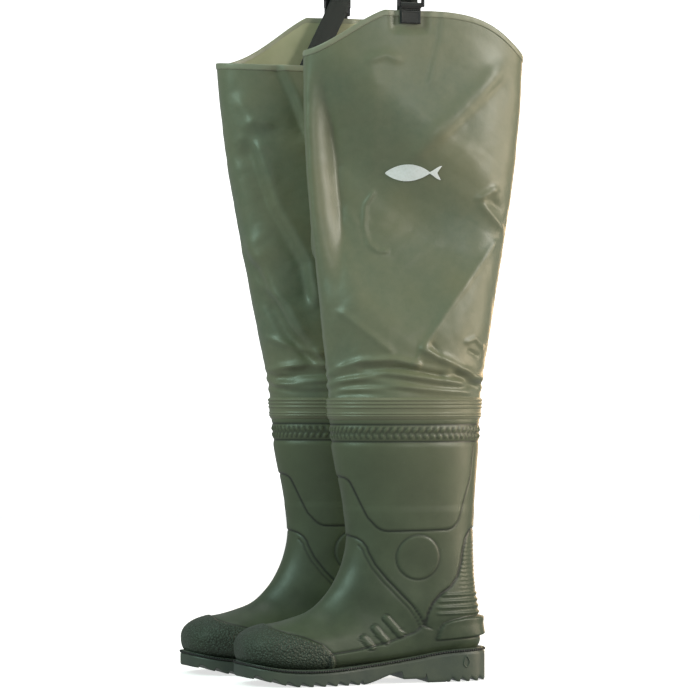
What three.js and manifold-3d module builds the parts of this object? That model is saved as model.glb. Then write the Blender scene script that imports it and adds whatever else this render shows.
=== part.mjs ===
// A pair of thigh waders. Each one is a moulded boot with a cleated outsole and a loose footbed, a
// fabric leg welded to the boot's top, a hemmed rim, and a webbing belt loop that closes with a
// side-release buckle. Millimetres, +Z up, toes towards -X. The left wader stands at -Y and the
// right one is its mirror image at +Y. Every piece is drawn as a left one, its outer side at -Y,
// with x = 0 at the middle of the boot's top.
import * as THREE from "three";
import { mergeVertices } from "three/addons/utils/BufferGeometryUtils.js";
import Module from "manifold-3d";

const wasm = await Module();
wasm.setup();

// Clearance between pieces that touch
const GAP = 0.3;

// The pair. The soft legs stand a little differently: each side says how far its boot is ahead of
// the left one, how far its rim leans back from its boot, how high the rim's outer side is drawn
// up, the share of the rim's length that its front and back slopes take, where the strap is, and
// how far forward its tail leans for each millimetre down.
const PAIR_SPACING = 160;
const SIDES_OF_PAIR = [
  {
    name: "left", sign: 1, ahead: 0, lean: 12, rise: 45, slopes: [0.26, 0.36],
    strapX: -8, tailLean: 0,
  },
  {
    name: "right", sign: -1, ahead: 26, lean: -26, rise: 65, slopes: [0.47, 0.22],
    strapX: 6.5, tailLean: 0.476,
  },
];

// Boot
const HEEL_X = 96;
const FOOT_LENGTH = 300;
const SHAFT_TOP = 319;
const ANKLE_TOP = 172;
const SHAFT_HALF_LENGTH = 91;
const SHAFT_HALF_WIDTH = 57;
const BALL_HALF_WIDTH = 53;
const HEEL_HALF_WIDTH = 37;
const BOOT_WALL = 3;
const FLOOR_THICKNESS = 4;
const FOOTBED_THICKNESS = 5;
const FOOTBED_CLEARANCE = 0.6;
const SPUR_RADIUS = 40;
const SPUR_BASE = 45;
const SPUR_HEIGHT = 20;

// Outsole
const TOE_SPRING = 10;
const CLEAT_DEPTH = 4;
const CLEAT_PITCH = 15;
const CLEAT_FLAT = 6;
const ARCH_HEIGHT = 13;
const HEEL_BREAST_X = 16;
const HEEL_CLEAT_PITCH = 12;
const HEEL_BLOCK = 16;

// Fabric leg
const FABRIC = 2;
const RIM_CORNER = 731;
const RIM_DIP = 5;
const RIM_HALF_LENGTH = 131;
const RIM_HALF_WIDTH = 45;
const KNEE_ABOVE_SHAFT = 36;
const KNEE_BELOW_RIM = 156;
const HEM_HEIGHT = 8;
const HEM_EXTRA = 0.8;
const KNEE_LOW = SHAFT_TOP + KNEE_ABOVE_SHAFT;
const KNEE_HIGH = RIM_CORNER - KNEE_BELOW_RIM;
const BAND_BELOW = 16;
const BAND_ABOVE = 10;
const BAND_THICKNESS = 1.8;

// Webbing and buckle
const WEBBING = 25;
const WEBBING_THICKNESS = 1.6;
const TAB_DROP = 16;
const TAB_THICKNESS = 2.2;
const LABEL_THICKNESS = 0.8;
const LABEL_SIZE = 13;
const BAR_RADIUS = 1.75;
const BAR_CLEARANCE = 0.4;
const LOOP_WALL = 1.1;
const BUCKLE_THICKNESS = 9;
const SOCKET_HEIGHT = 30;
const ARM_WIDTH = 2.8;
const ARM_CLEARANCE = 0.7;
const BUCKLE_WIDTH = WEBBING + 2 * (ARM_WIDTH + ARM_CLEARANCE);
const SOCKET_SIDE_WALL = 3;
const ARM_LENGTH = 9;
const SOCKET_CAVITY = { width: BUCKLE_WIDTH - 2 * SOCKET_SIDE_WALL, thickness: 5.6, depth: 25 };
const PRONG = { width: 4.5, thickness: 4, length: 22 };
const PLUG_BASE = 8;
const LOOP_HEIGHT = 58;
const STRAP_PITCH = 11;
const LOOP_TAIL = 84;
const TAIL_OVERLAP = 45;
const TAIL_DROP = 116;
const TAIL_BEND = 17;
const TAIL_INWARD = 5;
const SLIDER_HEIGHT = 18;
const SLIDER_WALL = 2.4;

// How finely the curved pieces are faceted
const SIDES = 24;
const BOOT_ROWS = 17;
const SOLE_STEPS = 16;

// Pieces merge points closer than this
const MERGE = 0.001;

// ---- closed bodies ------------------------------------------------------------------------------

// Merges shared points, drops empty triangles and turns the faces outwards.
function closeBody(source) {
  const bare = source.clone();
  bare.deleteAttribute("normal");
  bare.deleteAttribute("uv");
  const body = mergeVertices(bare, MERGE);
  const triangles = [];
  const corners = [new THREE.Vector3(), new THREE.Vector3(), new THREE.Vector3()];
  let volume = 0;
  for (let i = 0; i < body.index.count; i += 3) {
    const [a, b, c] = [body.index.getX(i), body.index.getX(i + 1), body.index.getX(i + 2)];
    if (a === b || b === c || c === a) continue;
    [a, b, c].forEach((at, k) => corners[k].fromBufferAttribute(body.attributes.position, at));
    volume += corners[0].dot(corners[1].clone().cross(corners[2]));
    triangles.push([a, b, c]);
  }
  const outward = volume > 0 ? triangles : triangles.map(([a, b, c]) => [a, c, b]);
  body.setIndex(outward.flat());
  body.computeVertexNormals();
  return body;
}

function toSolid(geometry) {
  const body = closeBody(geometry);
  const mesh = new wasm.Mesh({
    numProp: 3,
    vertProperties: new Float32Array(body.attributes.position.array),
    triVerts: new Uint32Array(body.index.array),
  });
  return new wasm.Manifold(mesh);
}

function toGeometry(solid) {
  const mesh = solid.getMesh();
  const geometry = new THREE.BufferGeometry();
  geometry.setAttribute("position", new THREE.BufferAttribute(mesh.vertProperties, 3));
  geometry.setIndex(new THREE.BufferAttribute(mesh.triVerts, 1));
  geometry.computeVertexNormals();
  return geometry;
}

// A lathe whose points are moved: place(step, angle) says where each step of the profile goes at
// each angle. Angle 0 faces the toe and a quarter turn faces the inner side. A step on the axis
// closes the body.
function shapedLathe(steps, place) {
  const profile = steps.map((step, i) => new THREE.Vector2(step.axis ? 0 : 1, i));
  const geometry = new THREE.LatheGeometry(profile, SIDES);
  const points = geometry.attributes.position;
  for (let i = 0; i < points.count; i += 1) {
    const angle = Math.atan2(points.getX(i), points.getZ(i));
    const to = place(steps[Math.round(points.getY(i))], angle);
    points.setXYZ(i, to.x, to.y, to.z);
  }
  return closeBody(geometry);
}

// An outline in X and Z, carried straight across in Y.
function acrossWader(shape, width) {
  const geometry = new THREE.ExtrudeGeometry(shape, { depth: width, bevelEnabled: false });
  return geometry.rotateX(Math.PI / 2).translate(0, width / 2, 0);
}

function block(sizes, middle) {
  return new THREE.BoxGeometry(...sizes).translate(...middle);
}

function outline(points) {
  return new THREE.Shape(points.map(([x, y]) => new THREE.Vector2(x, y)));
}

// ---- boot ---------------------------------------------------------------------------------------

const alongFoot = (share) => HEEL_X - share * FOOT_LENGTH;
const upShaft = (share) => ANKLE_TOP + share * (SHAFT_TOP - ANKLE_TOP);

// Slices through the boot, from its top edge down round the heel and forward to the toe. Each has
// its front or instep point, its back or sole point, a half width, and how square its sole side is.
const SLICES = [
  [-SHAFT_HALF_LENGTH, upShaft(1), SHAFT_HALF_LENGTH, upShaft(1), SHAFT_HALF_WIDTH, 2],
  [-0.95 * SHAFT_HALF_LENGTH, upShaft(0.67), 0.98 * SHAFT_HALF_LENGTH, upShaft(0.67), 54, 2],
  [-76, upShaft(0.3), 0.94 * SHAFT_HALF_LENGTH, upShaft(0.33), 49, 2],
  [-70, upShaft(0), 82, upShaft(-0.05), 45, 2],
  [-75, 140, 84, 112, 42, 2.1],
  [alongFoot(0.61), 113, 89, 68, 1.13 * HEEL_HALF_WIDTH, 2.3],
  [alongFoot(0.66), 94, alongFoot(0.04), 36, 1.06 * HEEL_HALF_WIDTH, 2.6],
  [alongFoot(0.71), 82, alongFoot(0.27), 28, 1.06 * HEEL_HALF_WIDTH, 3.2],
  [alongFoot(0.77), 75, alongFoot(0.5), 22, 0.84 * BALL_HALF_WIDTH, 3.6],
  [alongFoot(0.83), 70, alongFoot(0.68), 17, 0.96 * BALL_HALF_WIDTH, 3.8],
  [alongFoot(0.89), 67, alongFoot(0.82), 18, 0.94 * BALL_HALF_WIDTH, 3.6],
  [alongFoot(0.94), 62, alongFoot(0.92), 22, 0.78 * BALL_HALF_WIDTH, 3.2],
  [alongFoot(0.975), 54, alongFoot(0.97), 27, 0.5 * BALL_HALF_WIDTH, 2.6],
  [alongFoot(0.99), 42, alongFoot(0.99), 38, 0, 2],
];
const frontLine = new THREE.SplineCurve(SLICES.map((s) => new THREE.Vector2(s[0], s[1])));
const backLine = new THREE.SplineCurve(SLICES.map((s) => new THREE.Vector2(s[2], s[3])));
const widthLine = new THREE.SplineCurve(SLICES.map((s) => new THREE.Vector2(s[4], s[5])));

const signedPower = (value, power) => Math.sign(value) * Math.abs(value) ** power;

// A point of the boot's skin, moved inwards by the inset; slice runs from 0 at the top to 1.
function bootPoint(slice, angle, inset) {
  const front = frontLine.getPoint(slice);
  const back = backLine.getPoint(slice);
  const width = widthLine.getPoint(slice);
  const middle = front.clone().add(back).multiplyScalar(0.5);
  const reach = front.clone().sub(back).multiplyScalar(0.5);
  const shrink = Math.max(0, 1 - inset / Math.max(reach.length(), inset + MERGE));
  const power = Math.cos(angle) < 0 ? 2 / width.y : 1;
  const along = signedPower(Math.cos(angle), power) * shrink;
  const across = signedPower(Math.sin(angle), power) * Math.max(width.x - inset, 0);
  const behindToe = inset * THREE.MathUtils.smoothstep(slice, 0.8, 1);
  return new THREE.Vector3(middle.x + reach.x * along + behindToe, across, middle.y + reach.y * along);
}

// The boot as a filled body. A raise above zero carries its top on past the edge.
function bootBody(inset, raise) {
  const rows = Array.from({ length: BOOT_ROWS }, (_, i) => ({ slice: i / BOOT_ROWS, lift: 0 }));
  const top = { slice: 0, lift: raise };
  const steps = [{ ...top, axis: true }, top, ...(raise > 0 ? rows : rows.slice(1))];
  steps.push({ slice: 1, lift: 0, axis: true });
  return shapedLathe(steps, (step, angle) => {
    if (step.axis) {
      const ahead = bootPoint(step.slice, 0, inset);
      const behind = bootPoint(step.slice, Math.PI, inset);
      return ahead.add(behind).multiplyScalar(0.5).add(new THREE.Vector3(0, 0, step.lift));
    }
    const at = bootPoint(step.slice, angle, inset);
    at.z += step.lift;
    return at;
  });
}

// Where the upper meets the outsole, seen from the side, from beyond the heel to beyond the toe.
const soleLine = new THREE.SplineCurve([
  new THREE.Vector2(alongFoot(-0.15), 38),
  new THREE.Vector2(alongFoot(0), 38),
  new THREE.Vector2(alongFoot(0.18), 36),
  new THREE.Vector2(alongFoot(0.34), 29),
  new THREE.Vector2(alongFoot(0.5), 23),
  new THREE.Vector2(alongFoot(0.68), 19),
  new THREE.Vector2(alongFoot(0.84), 20),
  new THREE.Vector2(alongFoot(1), 28),
  new THREE.Vector2(alongFoot(1.1), 33),
]);

// The layer between two heights over the sole line.
function soleLayer(low, high) {
  const line = soleLine.getPoints(SOLE_STEPS);
  const below = line.map((p) => [p.x, p.y + low]);
  const above = line.map((p) => [p.x, p.y + high]).reverse();
  return toSolid(acrossWader(outline([...below, ...above]), 4 * BALL_HALF_WIDTH));
}

function heelSpur() {
  const disc = new THREE.CylinderGeometry(SPUR_RADIUS, SPUR_RADIUS - 4, SPUR_HEIGHT, SIDES);
  disc.rotateX(Math.PI / 2);
  return toSolid(disc.translate(HEEL_X + 4 - SPUR_RADIUS, 0, SPUR_BASE + SPUR_HEIGHT / 2));
}

function bootUpper() {
  const below = soleLayer(-100, GAP);
  const belowFloor = soleLayer(-100, GAP + FLOOR_THICKNESS);
  const skin = toSolid(bootBody(0, 0)).add(heelSpur()).subtract(below);
  const cavity = toSolid(bootBody(BOOT_WALL, 20)).subtract(belowFloor);
  return toGeometry(skin.subtract(cavity));
}

function footbed() {
  const low = 2 * GAP + FLOOR_THICKNESS;
  const layer = soleLayer(low, low + FOOTBED_THICKNESS);
  return toGeometry(toSolid(bootBody(BOOT_WALL + FOOTBED_CLEARANCE, 0)).intersect(layer));
}

// The outsole's outline from above, as shares of the foot's length and of the half widths.
function soleOutline() {
  const ball = BALL_HALF_WIDTH;
  const heel = HEEL_HALF_WIDTH;
  const points = [
    [1, 0.08 * ball], [0.97, -0.5 * ball], [0.9, -0.84 * ball], [0.79, -1.0 * ball],
    [0.68, -1.02 * ball], [0.52, -1.2 * heel], [0.37, -1.05 * heel], [0.22, -1.0 * heel],
    [0.09, -0.96 * heel], [0.02, -0.6 * heel], [0, 0], [0.02, 0.6 * heel],
    [0.09, 0.96 * heel], [0.22, 0.98 * heel], [0.37, 0.94 * heel], [0.52, 1.08 * heel],
    [0.68, 0.93 * ball], [0.79, 0.98 * ball], [0.9, 0.86 * ball], [0.97, 0.56 * ball],
  ];
  const corners = points.map(([share, y]) => new THREE.Vector3(alongFoot(share), y, 0));
  const curve = new THREE.CatmullRomCurve3(corners, true);
  return new THREE.Shape(curve.getPoints(2 * SIDES).slice(0, -1).map((p) => new THREE.Vector2(p.x, p.y)));
}

// The outsole from the side: its welded top, then its tread from the heel to the toe.
function soleProfile() {
  const top = soleLine.getPoints(SOLE_STEPS).map((p) => [p.x, p.y]).reverse();
  const tread = [[alongFoot(-0.15), CLEAT_DEPTH + 2], [HEEL_X - 4, 0]];
  for (let x = HEEL_X - 4; x > HEEL_BREAST_X + HEEL_BLOCK + HEEL_CLEAT_PITCH; x -= HEEL_CLEAT_PITCH) {
    tread.push([x - CLEAT_FLAT, 0], [x - 0.65 * HEEL_CLEAT_PITCH, CLEAT_DEPTH]);
    tread.push([x - 0.85 * HEEL_CLEAT_PITCH, CLEAT_DEPTH], [x - HEEL_CLEAT_PITCH, 0]);
  }
  tread.push([HEEL_BREAST_X, 0], [HEEL_BREAST_X - 3, ARCH_HEIGHT]);
  tread.push([HEEL_BREAST_X - 28, ARCH_HEIGHT], [HEEL_BREAST_X - 52, 0.6 * ARCH_HEIGHT]);
  const first = alongFoot(0.53);
  const last = alongFoot(0.97);
  for (let x = first; x - CLEAT_PITCH > last; x -= CLEAT_PITCH) {
    const spring = TOE_SPRING * THREE.MathUtils.smoothstep(-x, -alongFoot(0.78), -alongFoot(1));
    tread.push([x, spring], [x - CLEAT_FLAT, spring]);
    tread.push([x - 0.6 * CLEAT_PITCH, spring + CLEAT_DEPTH]);
    tread.push([x - 0.8 * CLEAT_PITCH, spring + CLEAT_DEPTH]);
  }
  tread.push([last, TOE_SPRING], [alongFoot(1.1), TOE_SPRING + 6]);
  return outline([...top, ...tread]);
}

function outsole() {
  const depth = 4 * SPUR_BASE;
  const plan = new THREE.ExtrudeGeometry(soleOutline(), { depth, bevelEnabled: false });
  const side = acrossWader(soleProfile(), 4 * BALL_HALF_WIDTH);
  return toGeometry(toSolid(plan.translate(0, 0, -depth / 2)).intersect(toSolid(side)));
}

// ---- fabric leg ---------------------------------------------------------------------------------

// A point of the leg's skin at a height, moved outwards by the outset.
function legPoint(height, angle, outset, lean) {
  const share = THREE.MathUtils.clamp((height - SHAFT_TOP) / (RIM_CORNER - SHAFT_TOP), 0, 1);
  const swell = Math.sin((share * Math.PI) / 2) ** 1.4;
  const flatten = THREE.MathUtils.smoothstep(share, 0.1, 1);
  const length = THREE.MathUtils.lerp(SHAFT_HALF_LENGTH, RIM_HALF_LENGTH, swell) + outset;
  const width = THREE.MathUtils.lerp(SHAFT_HALF_WIDTH, RIM_HALF_WIDTH, flatten) + outset;
  const x = lean * share - length * Math.cos(angle);
  return new THREE.Vector3(x, width * Math.sin(angle), height);
}

// The rim stands higher on the outer side, between two slopes, and dips a little on the inner one.
function rimHeight(side, angle) {
  const inner = Math.sin(angle);
  const back = (1 - Math.cos(angle)) / 2;
  const [front, rear] = side.slopes;
  const rise = inner < 0 ? Math.min(1, back / front, (1 - back) / rear) : 0;
  return RIM_CORNER + side.rise * rise - RIM_DIP * Math.max(inner, 0);
}

// A wall that follows the leg between two heights, which may differ at each angle.
function sleeve(side, low, high, outset, inset, rows) {
  const up = Array.from({ length: rows + 1 }, (_, i) => i / rows);
  const outer = up.map((share) => ({ share, outset }));
  const inner = up.map((share) => ({ share, outset: -inset })).reverse();
  return shapedLathe([...outer, ...inner, outer[0]], (step, angle) => {
    const height = THREE.MathUtils.lerp(low(angle), high(angle), step.share);
    return legPoint(height, angle, step.outset, side.lean);
  });
}

const level = (height) => () => height;
const underHem = (side) => (angle) => rimHeight(side, angle) - HEM_HEIGHT;

function legLower(side) {
  return sleeve(side, level(SHAFT_TOP + GAP), level(KNEE_LOW), 0, FABRIC, 2);
}

function legKnee(side) {
  return sleeve(side, level(KNEE_LOW + GAP), level(KNEE_HIGH - GAP), 0, FABRIC, 4);
}

function legUpper(side) {
  return sleeve(side, level(KNEE_HIGH), (a) => underHem(side)(a) - 2 * GAP, 0, FABRIC, 3);
}

function topHem(side) {
  return sleeve(side, underHem(side), (a) => rimHeight(side, a), HEM_EXTRA, FABRIC + HEM_EXTRA, 1);
}

function weldBand(side) {
  const low = level(SHAFT_TOP - BAND_BELOW);
  const high = level(SHAFT_TOP + BAND_ABOVE);
  return sleeve(side, low, high, 2 * GAP + BAND_THICKNESS, -2 * GAP, 3);
}

// ---- webbing and buckle -------------------------------------------------------------------------

// These pieces are drawn about the strap's middle, with z = 0 at the top of the rim there.
const LOOP_RADIUS = BAR_RADIUS + BAR_CLEARANCE + LOOP_WALL;
const TAB_Y = -(RIM_HALF_WIDTH + HEM_EXTRA + GAP);
const BUCKLE_Y = TAB_Y - LOOP_RADIUS;
const HINGE_Z = LOOP_RADIUS + 2;
const SOCKET_LOW = HINGE_Z + ARM_LENGTH - 1;
const SOCKET_HIGH = SOCKET_LOW + SOCKET_HEIGHT;
const PLUG_LOW = SOCKET_HIGH + GAP;
const PLUG_BAR_Z = PLUG_LOW + PLUG_BASE + ARM_LENGTH;
const LOOP_TOP = PLUG_BAR_Z + LOOP_HEIGHT;
const INNER_Y = BUCKLE_Y + STRAP_PITCH;
const TAIL_Y = INNER_Y + WEBBING_THICKNESS + GAP;
const LOOP_END = LOOP_TOP - LOOP_TAIL;
const TAIL_TOP = LOOP_END + TAIL_OVERLAP;

// A round rod along X through the buckle's line.
function rodAlongX(radius, length, height) {
  const rod = new THREE.CylinderGeometry(radius, radius, length, 12);
  return toSolid(rod.rotateZ(Math.PI / 2).translate(0, BUCKLE_Y, height));
}

// Webbing sewn round a bar: an eye round the bar and a flat strip from there to its far end.
function eyeStrip(bar, stripY, thickness, far) {
  const size = [WEBBING, thickness, Math.abs(far - bar)];
  const strip = toSolid(block(size, [0, stripY, (far + bar) / 2]));
  const eye = rodAlongX(LOOP_RADIUS, WEBBING, bar);
  return eye.add(strip).subtract(rodAlongX(BAR_RADIUS + BAR_CLEARANCE, WEBBING + 2, bar));
}

function strapTab() {
  return toGeometry(eyeStrip(HINGE_Z, TAB_Y - TAB_THICKNESS / 2, TAB_THICKNESS, -TAB_DROP));
}

function careLabel() {
  const y = TAB_Y - TAB_THICKNESS - GAP - LABEL_THICKNESS / 2;
  const z = 1 - TAB_DROP + LABEL_SIZE / 2;
  return block([WEBBING - 2, LABEL_THICKNESS, LABEL_SIZE], [0, y, z]);
}

// A bar across the buckle with an arm at each end; the arms run from the bar to the body.
function barAndArms(bar, body) {
  const reach = Math.abs(body - bar) + 3;
  const middle = (body + bar) / 2;
  const out = (BUCKLE_WIDTH - ARM_WIDTH) / 2;
  const arms = [-out, out].map((x) => (
    toSolid(block([ARM_WIDTH, 2 * BAR_RADIUS + 1, reach], [x, BUCKLE_Y, middle]))
  ));
  return rodAlongX(BAR_RADIUS, BUCKLE_WIDTH - 1, bar).add(arms[0]).add(arms[1]);
}

function buckleSocket() {
  const middle = (SOCKET_LOW + SOCKET_HIGH) / 2;
  const { width, thickness, depth } = SOCKET_CAVITY;
  const shell = block([BUCKLE_WIDTH, BUCKLE_THICKNESS, SOCKET_HEIGHT], [0, BUCKLE_Y, middle]);
  const mouth = block([width, thickness, depth + 2], [0, BUCKLE_Y, SOCKET_HIGH + 1 - depth / 2]);
  const windows = block([BUCKLE_WIDTH + 2, thickness - 1, 11], [0, BUCKLE_Y, SOCKET_LOW + 13]);
  const body = toSolid(shell).subtract(toSolid(mouth)).subtract(toSolid(windows));
  return toGeometry(body.add(barAndArms(HINGE_Z, SOCKET_LOW)));
}

function bucklePlug() {
  const base = [BUCKLE_WIDTH, BUCKLE_THICKNESS - 1, PLUG_BASE];
  const high = PLUG_LOW + PLUG_BASE;
  let plug = toSolid(block(base, [0, BUCKLE_Y, PLUG_LOW + PLUG_BASE / 2]));
  const inward = SOCKET_CAVITY.width / 2 - PRONG.width / 2 - 1;
  for (const x of [-inward, 0, inward]) {
    const size = [PRONG.width, PRONG.thickness, PRONG.length + 2];
    const prong = block(size, [x, BUCKLE_Y, PLUG_LOW + 1 - PRONG.length / 2]);
    plug = plug.add(toSolid(prong));
  }
  return toGeometry(plug.add(barAndArms(PLUG_BAR_Z, high)));
}

// A strip of webbing along a route of points, its width held along X.
function ribbon(route, thickness, steps) {
  const curve = new THREE.CatmullRomCurve3(route, false, "chordal");
  const strip = new THREE.BoxGeometry(WEBBING, thickness, 1, 1, 1, steps);
  const points = strip.attributes.position;
  for (let i = 0; i < points.count; i += 1) {
    const share = points.getZ(i) + 0.5;
    const at = curve.getPointAt(share);
    const tangent = curve.getTangentAt(share);
    const facing = new THREE.Vector3(0, -tangent.z, tangent.y).normalize();
    at.addScaledVector(facing, points.getY(i));
    points.setXYZ(i, at.x + points.getX(i), at.y, at.z);
  }
  return closeBody(strip);
}

// The belt loop: sewn round the plug's bar, up, over, and down behind itself to its free end.
function beltLoop() {
  const eye = eyeStrip(PLUG_BAR_Z, BUCKLE_Y, WEBBING_THICKNESS, PLUG_BAR_Z + 3 * LOOP_RADIUS);
  const bend = STRAP_PITCH / 2;
  const turn = LOOP_TOP - bend;
  const place = (y, z) => new THREE.Vector3(0, y, z);
  const route = [place(BUCKLE_Y, PLUG_BAR_Z + 2.5 * LOOP_RADIUS)];
  route.push(place(BUCKLE_Y, turn - 2 * bend), place(BUCKLE_Y, turn - bend));
  for (let i = 0; i <= 6; i += 1) {
    const angle = Math.PI * (1 - i / 6);
    const y = BUCKLE_Y + bend + bend * Math.cos(angle);
    route.push(place(y, turn + bend * Math.sin(angle)));
  }
  route.push(place(INNER_Y, turn - bend), place(INNER_Y, turn - 2 * bend));
  route.push(place(INNER_Y, LOOP_END));
  const strip = toSolid(ribbon(route, WEBBING_THICKNESS, 26));
  return toGeometry(strip.add(eye));
}

// The tail: overlaps the loop's free end, then runs down, leaning forward, to where it is sewn in.
function strapTail(side) {
  const low = TAIL_OVERLAP - TAIL_DROP;
  const share = (height) => side.tailLean * (TAIL_BEND - height);
  const route = [
    new THREE.Vector3(0, TAIL_Y, TAIL_TOP),
    new THREE.Vector3(0, TAIL_Y, TAIL_BEND + 15),
    new THREE.Vector3(0, TAIL_Y, TAIL_BEND + 5),
    new THREE.Vector3(-share(TAIL_BEND - 12), TAIL_Y + 0.5, TAIL_BEND - 12),
    new THREE.Vector3(-share((TAIL_BEND + low) / 2), TAIL_Y + TAIL_INWARD / 2, (TAIL_BEND + low) / 2),
    new THREE.Vector3(-share(low), TAIL_Y + TAIL_INWARD, low),
  ];
  return ribbon(route, WEBBING_THICKNESS, 14);
}

// A flat frame round both layers of webbing where the loop's free end lies on the tail.
function strapSlider() {
  const middleY = (INNER_Y + TAIL_Y) / 2;
  const middleZ = LOOP_END + 0.55 * TAIL_OVERLAP;
  const inner = TAIL_Y - INNER_Y + WEBBING_THICKNESS + 4 * GAP;
  const middle = [0, middleY, middleZ];
  const frame = block([WEBBING + 6, inner + 2 * SLIDER_WALL, SLIDER_HEIGHT], middle);
  const hole = block([WEBBING + 1, inner, SLIDER_HEIGHT + 2], middle);
  return toGeometry(toSolid(frame).subtract(toSolid(hole)));
}

// ---- the pair -----------------------------------------------------------------------------------

const LOOKS = {
  pvc: { color: 0x3c4438, roughness: 0.42, metalness: 0 },
  sole: { color: 0x2f352d, roughness: 0.5, metalness: 0 },
  felt: { color: 0x8b8a7c, roughness: 0.95, metalness: 0 },
  fabric: { color: 0x66674f, roughness: 0.5, metalness: 0 },
  hem: { color: 0x5b5d47, roughness: 0.55, metalness: 0 },
  webbing: { color: 0x17191a, roughness: 0.8, metalness: 0 },
  plastic: { color: 0x1b1c1e, roughness: 0.3, metalness: 0 },
};

const AT_BOOT = { bootUpper, outsole, footbed, weldBand, legLower, legKnee, legUpper, topHem };
const AT_RIM = { strapTab, careLabel, buckleSocket, bucklePlug, beltLoop, strapTail, strapSlider };
const LOOK_OF = {
  bootUpper: "pvc", outsole: "sole", footbed: "felt", weldBand: "pvc", legLower: "fabric",
  legKnee: "fabric", legUpper: "fabric", topHem: "hem", strapTab: "webbing", careLabel: "webbing",
  buckleSocket: "plastic", bucklePlug: "plastic", beltLoop: "webbing", strapTail: "webbing",
  strapSlider: "plastic",
};

const underscored = (words) => words.replace(/[A-Z]/g, (letter) => `_${letter.toLowerCase()}`);

// One side's copy of each piece, mirrored on the right, in a group of its own.
function placed(pieces, side, x, z) {
  const group = new THREE.Group();
  for (const [piece, make] of Object.entries(pieces)) {
    const shape = closeBody(closeBody(make(side)).scale(1, side.sign, 1));
    const mesh = new THREE.Mesh(shape, new THREE.MeshStandardMaterial(LOOKS[LOOK_OF[piece]]));
    mesh.name = `${side.name}_${underscored(piece)}`;
    group.add(mesh);
  }
  group.position.set(x, (-side.sign * PAIR_SPACING) / 2, z);
  return group;
}

const waders = new THREE.Group();
for (const side of SIDES_OF_PAIR) {
  waders.add(placed(AT_BOOT, side, -side.ahead, 0));
  waders.add(placed(AT_RIM, side, side.strapX - side.ahead, RIM_CORNER + side.rise));
}

// The origin is on the floor under the middle of the pair.
const extent = new THREE.Box3().setFromObject(waders);
waders.position.x = -(extent.min.x + extent.max.x) / 2;

export default waders;
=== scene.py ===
"""A pair of thigh waders: moulded PVC boots with cleated outsoles, coated-fabric legs welded to
them, a hemmed rim, and a webbing belt loop with a side-release buckle on each leg.

Shapes are worked out in millimetres about each wader's own axes: x = 0 at the middle of the boot's
top with the toe towards -x, the outer side towards -y, and z = 0 on the floor. to_frame() puts them
into the frame, in metres, mirrored for the right wader."""

import math

import bmesh
import bpy
import numpy as np
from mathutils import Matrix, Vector


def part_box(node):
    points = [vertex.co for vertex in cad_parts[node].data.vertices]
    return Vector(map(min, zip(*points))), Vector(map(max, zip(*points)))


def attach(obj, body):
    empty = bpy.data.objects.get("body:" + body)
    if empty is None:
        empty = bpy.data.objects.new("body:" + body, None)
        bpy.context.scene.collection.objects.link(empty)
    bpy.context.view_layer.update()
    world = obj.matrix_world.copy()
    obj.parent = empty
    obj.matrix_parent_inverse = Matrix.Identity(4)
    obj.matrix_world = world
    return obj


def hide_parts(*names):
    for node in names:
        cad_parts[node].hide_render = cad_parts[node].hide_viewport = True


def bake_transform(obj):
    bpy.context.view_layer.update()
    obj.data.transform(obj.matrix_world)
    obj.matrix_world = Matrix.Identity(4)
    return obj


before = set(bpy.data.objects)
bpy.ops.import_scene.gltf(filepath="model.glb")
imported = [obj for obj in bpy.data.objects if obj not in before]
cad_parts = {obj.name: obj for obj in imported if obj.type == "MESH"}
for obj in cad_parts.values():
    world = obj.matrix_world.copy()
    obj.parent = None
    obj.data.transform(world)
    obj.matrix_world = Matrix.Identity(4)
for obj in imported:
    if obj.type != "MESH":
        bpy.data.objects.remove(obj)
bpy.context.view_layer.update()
MM = 0.001


# ---- the two waders, read from the frame ---------------------------------------------------------

# Sizes that the solids share, in millimetres: where the heel ends, the foot's length, the heights of
# the ankle, the boot's top edge and the low corner of the rim, and the half depth and half width of
# the leg at its foot and at its rim.
HEEL_X = 96.0
FOOT_LENGTH = 300.0
ANKLE_TOP = 172.0
SHAFT_TOP = 319.0
RIM_CORNER = 731.0
SHAFT_HALF = (91.0, 57.0)
RIM_HALF = (131.0, 45.0)


class Wader:
    """One side: its axes' place in the frame, and the stance of its soft leg. slopes says how far the
    rim's front and rear slopes reach, as shares of the leg's depth, and bends the powers of the share
    that curve them."""

    def __init__(self, name, sign, slopes, bends):
        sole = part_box(f"{name}_outsole")
        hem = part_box(f"{name}_top_hem")
        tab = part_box(f"{name}_strap_tab")
        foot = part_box(f"{name}_leg_lower")
        self.name = name
        self.sign = sign
        self.x = sole[1].x / MM - HEEL_X
        self.y = (foot[0].y + foot[1].y) / (2 * MM)
        self.lean = (hem[0].x + hem[1].x) / (2 * MM) - self.x
        self.peak = hem[1].z / MM
        self.slopes = slopes
        self.bends = bends
        self.strap_x = (tab[0].x + tab[1].x) / (2 * MM) - self.x

    def node(self, piece):
        """The name of this side's node, body or piece."""
        return f"{self.name}_{piece}"

    def to_frame(self, points):
        """Millimetres about the wader's axes to metres in the frame."""
        scale = np.array([1.0, self.sign, 1.0])
        return (np.asarray(points, float) * scale + [self.x, self.y, 0.0]) * MM


LEFT = Wader("left", 1, (0.31, 0.52), (1.0, 2.6))
RIGHT = Wader("right", -1, (0.47, 0.22), (1.42, 1.75))
PAIR = (LEFT, RIGHT)


# ---- camera and light ----------------------------------------------------------------------------

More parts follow.
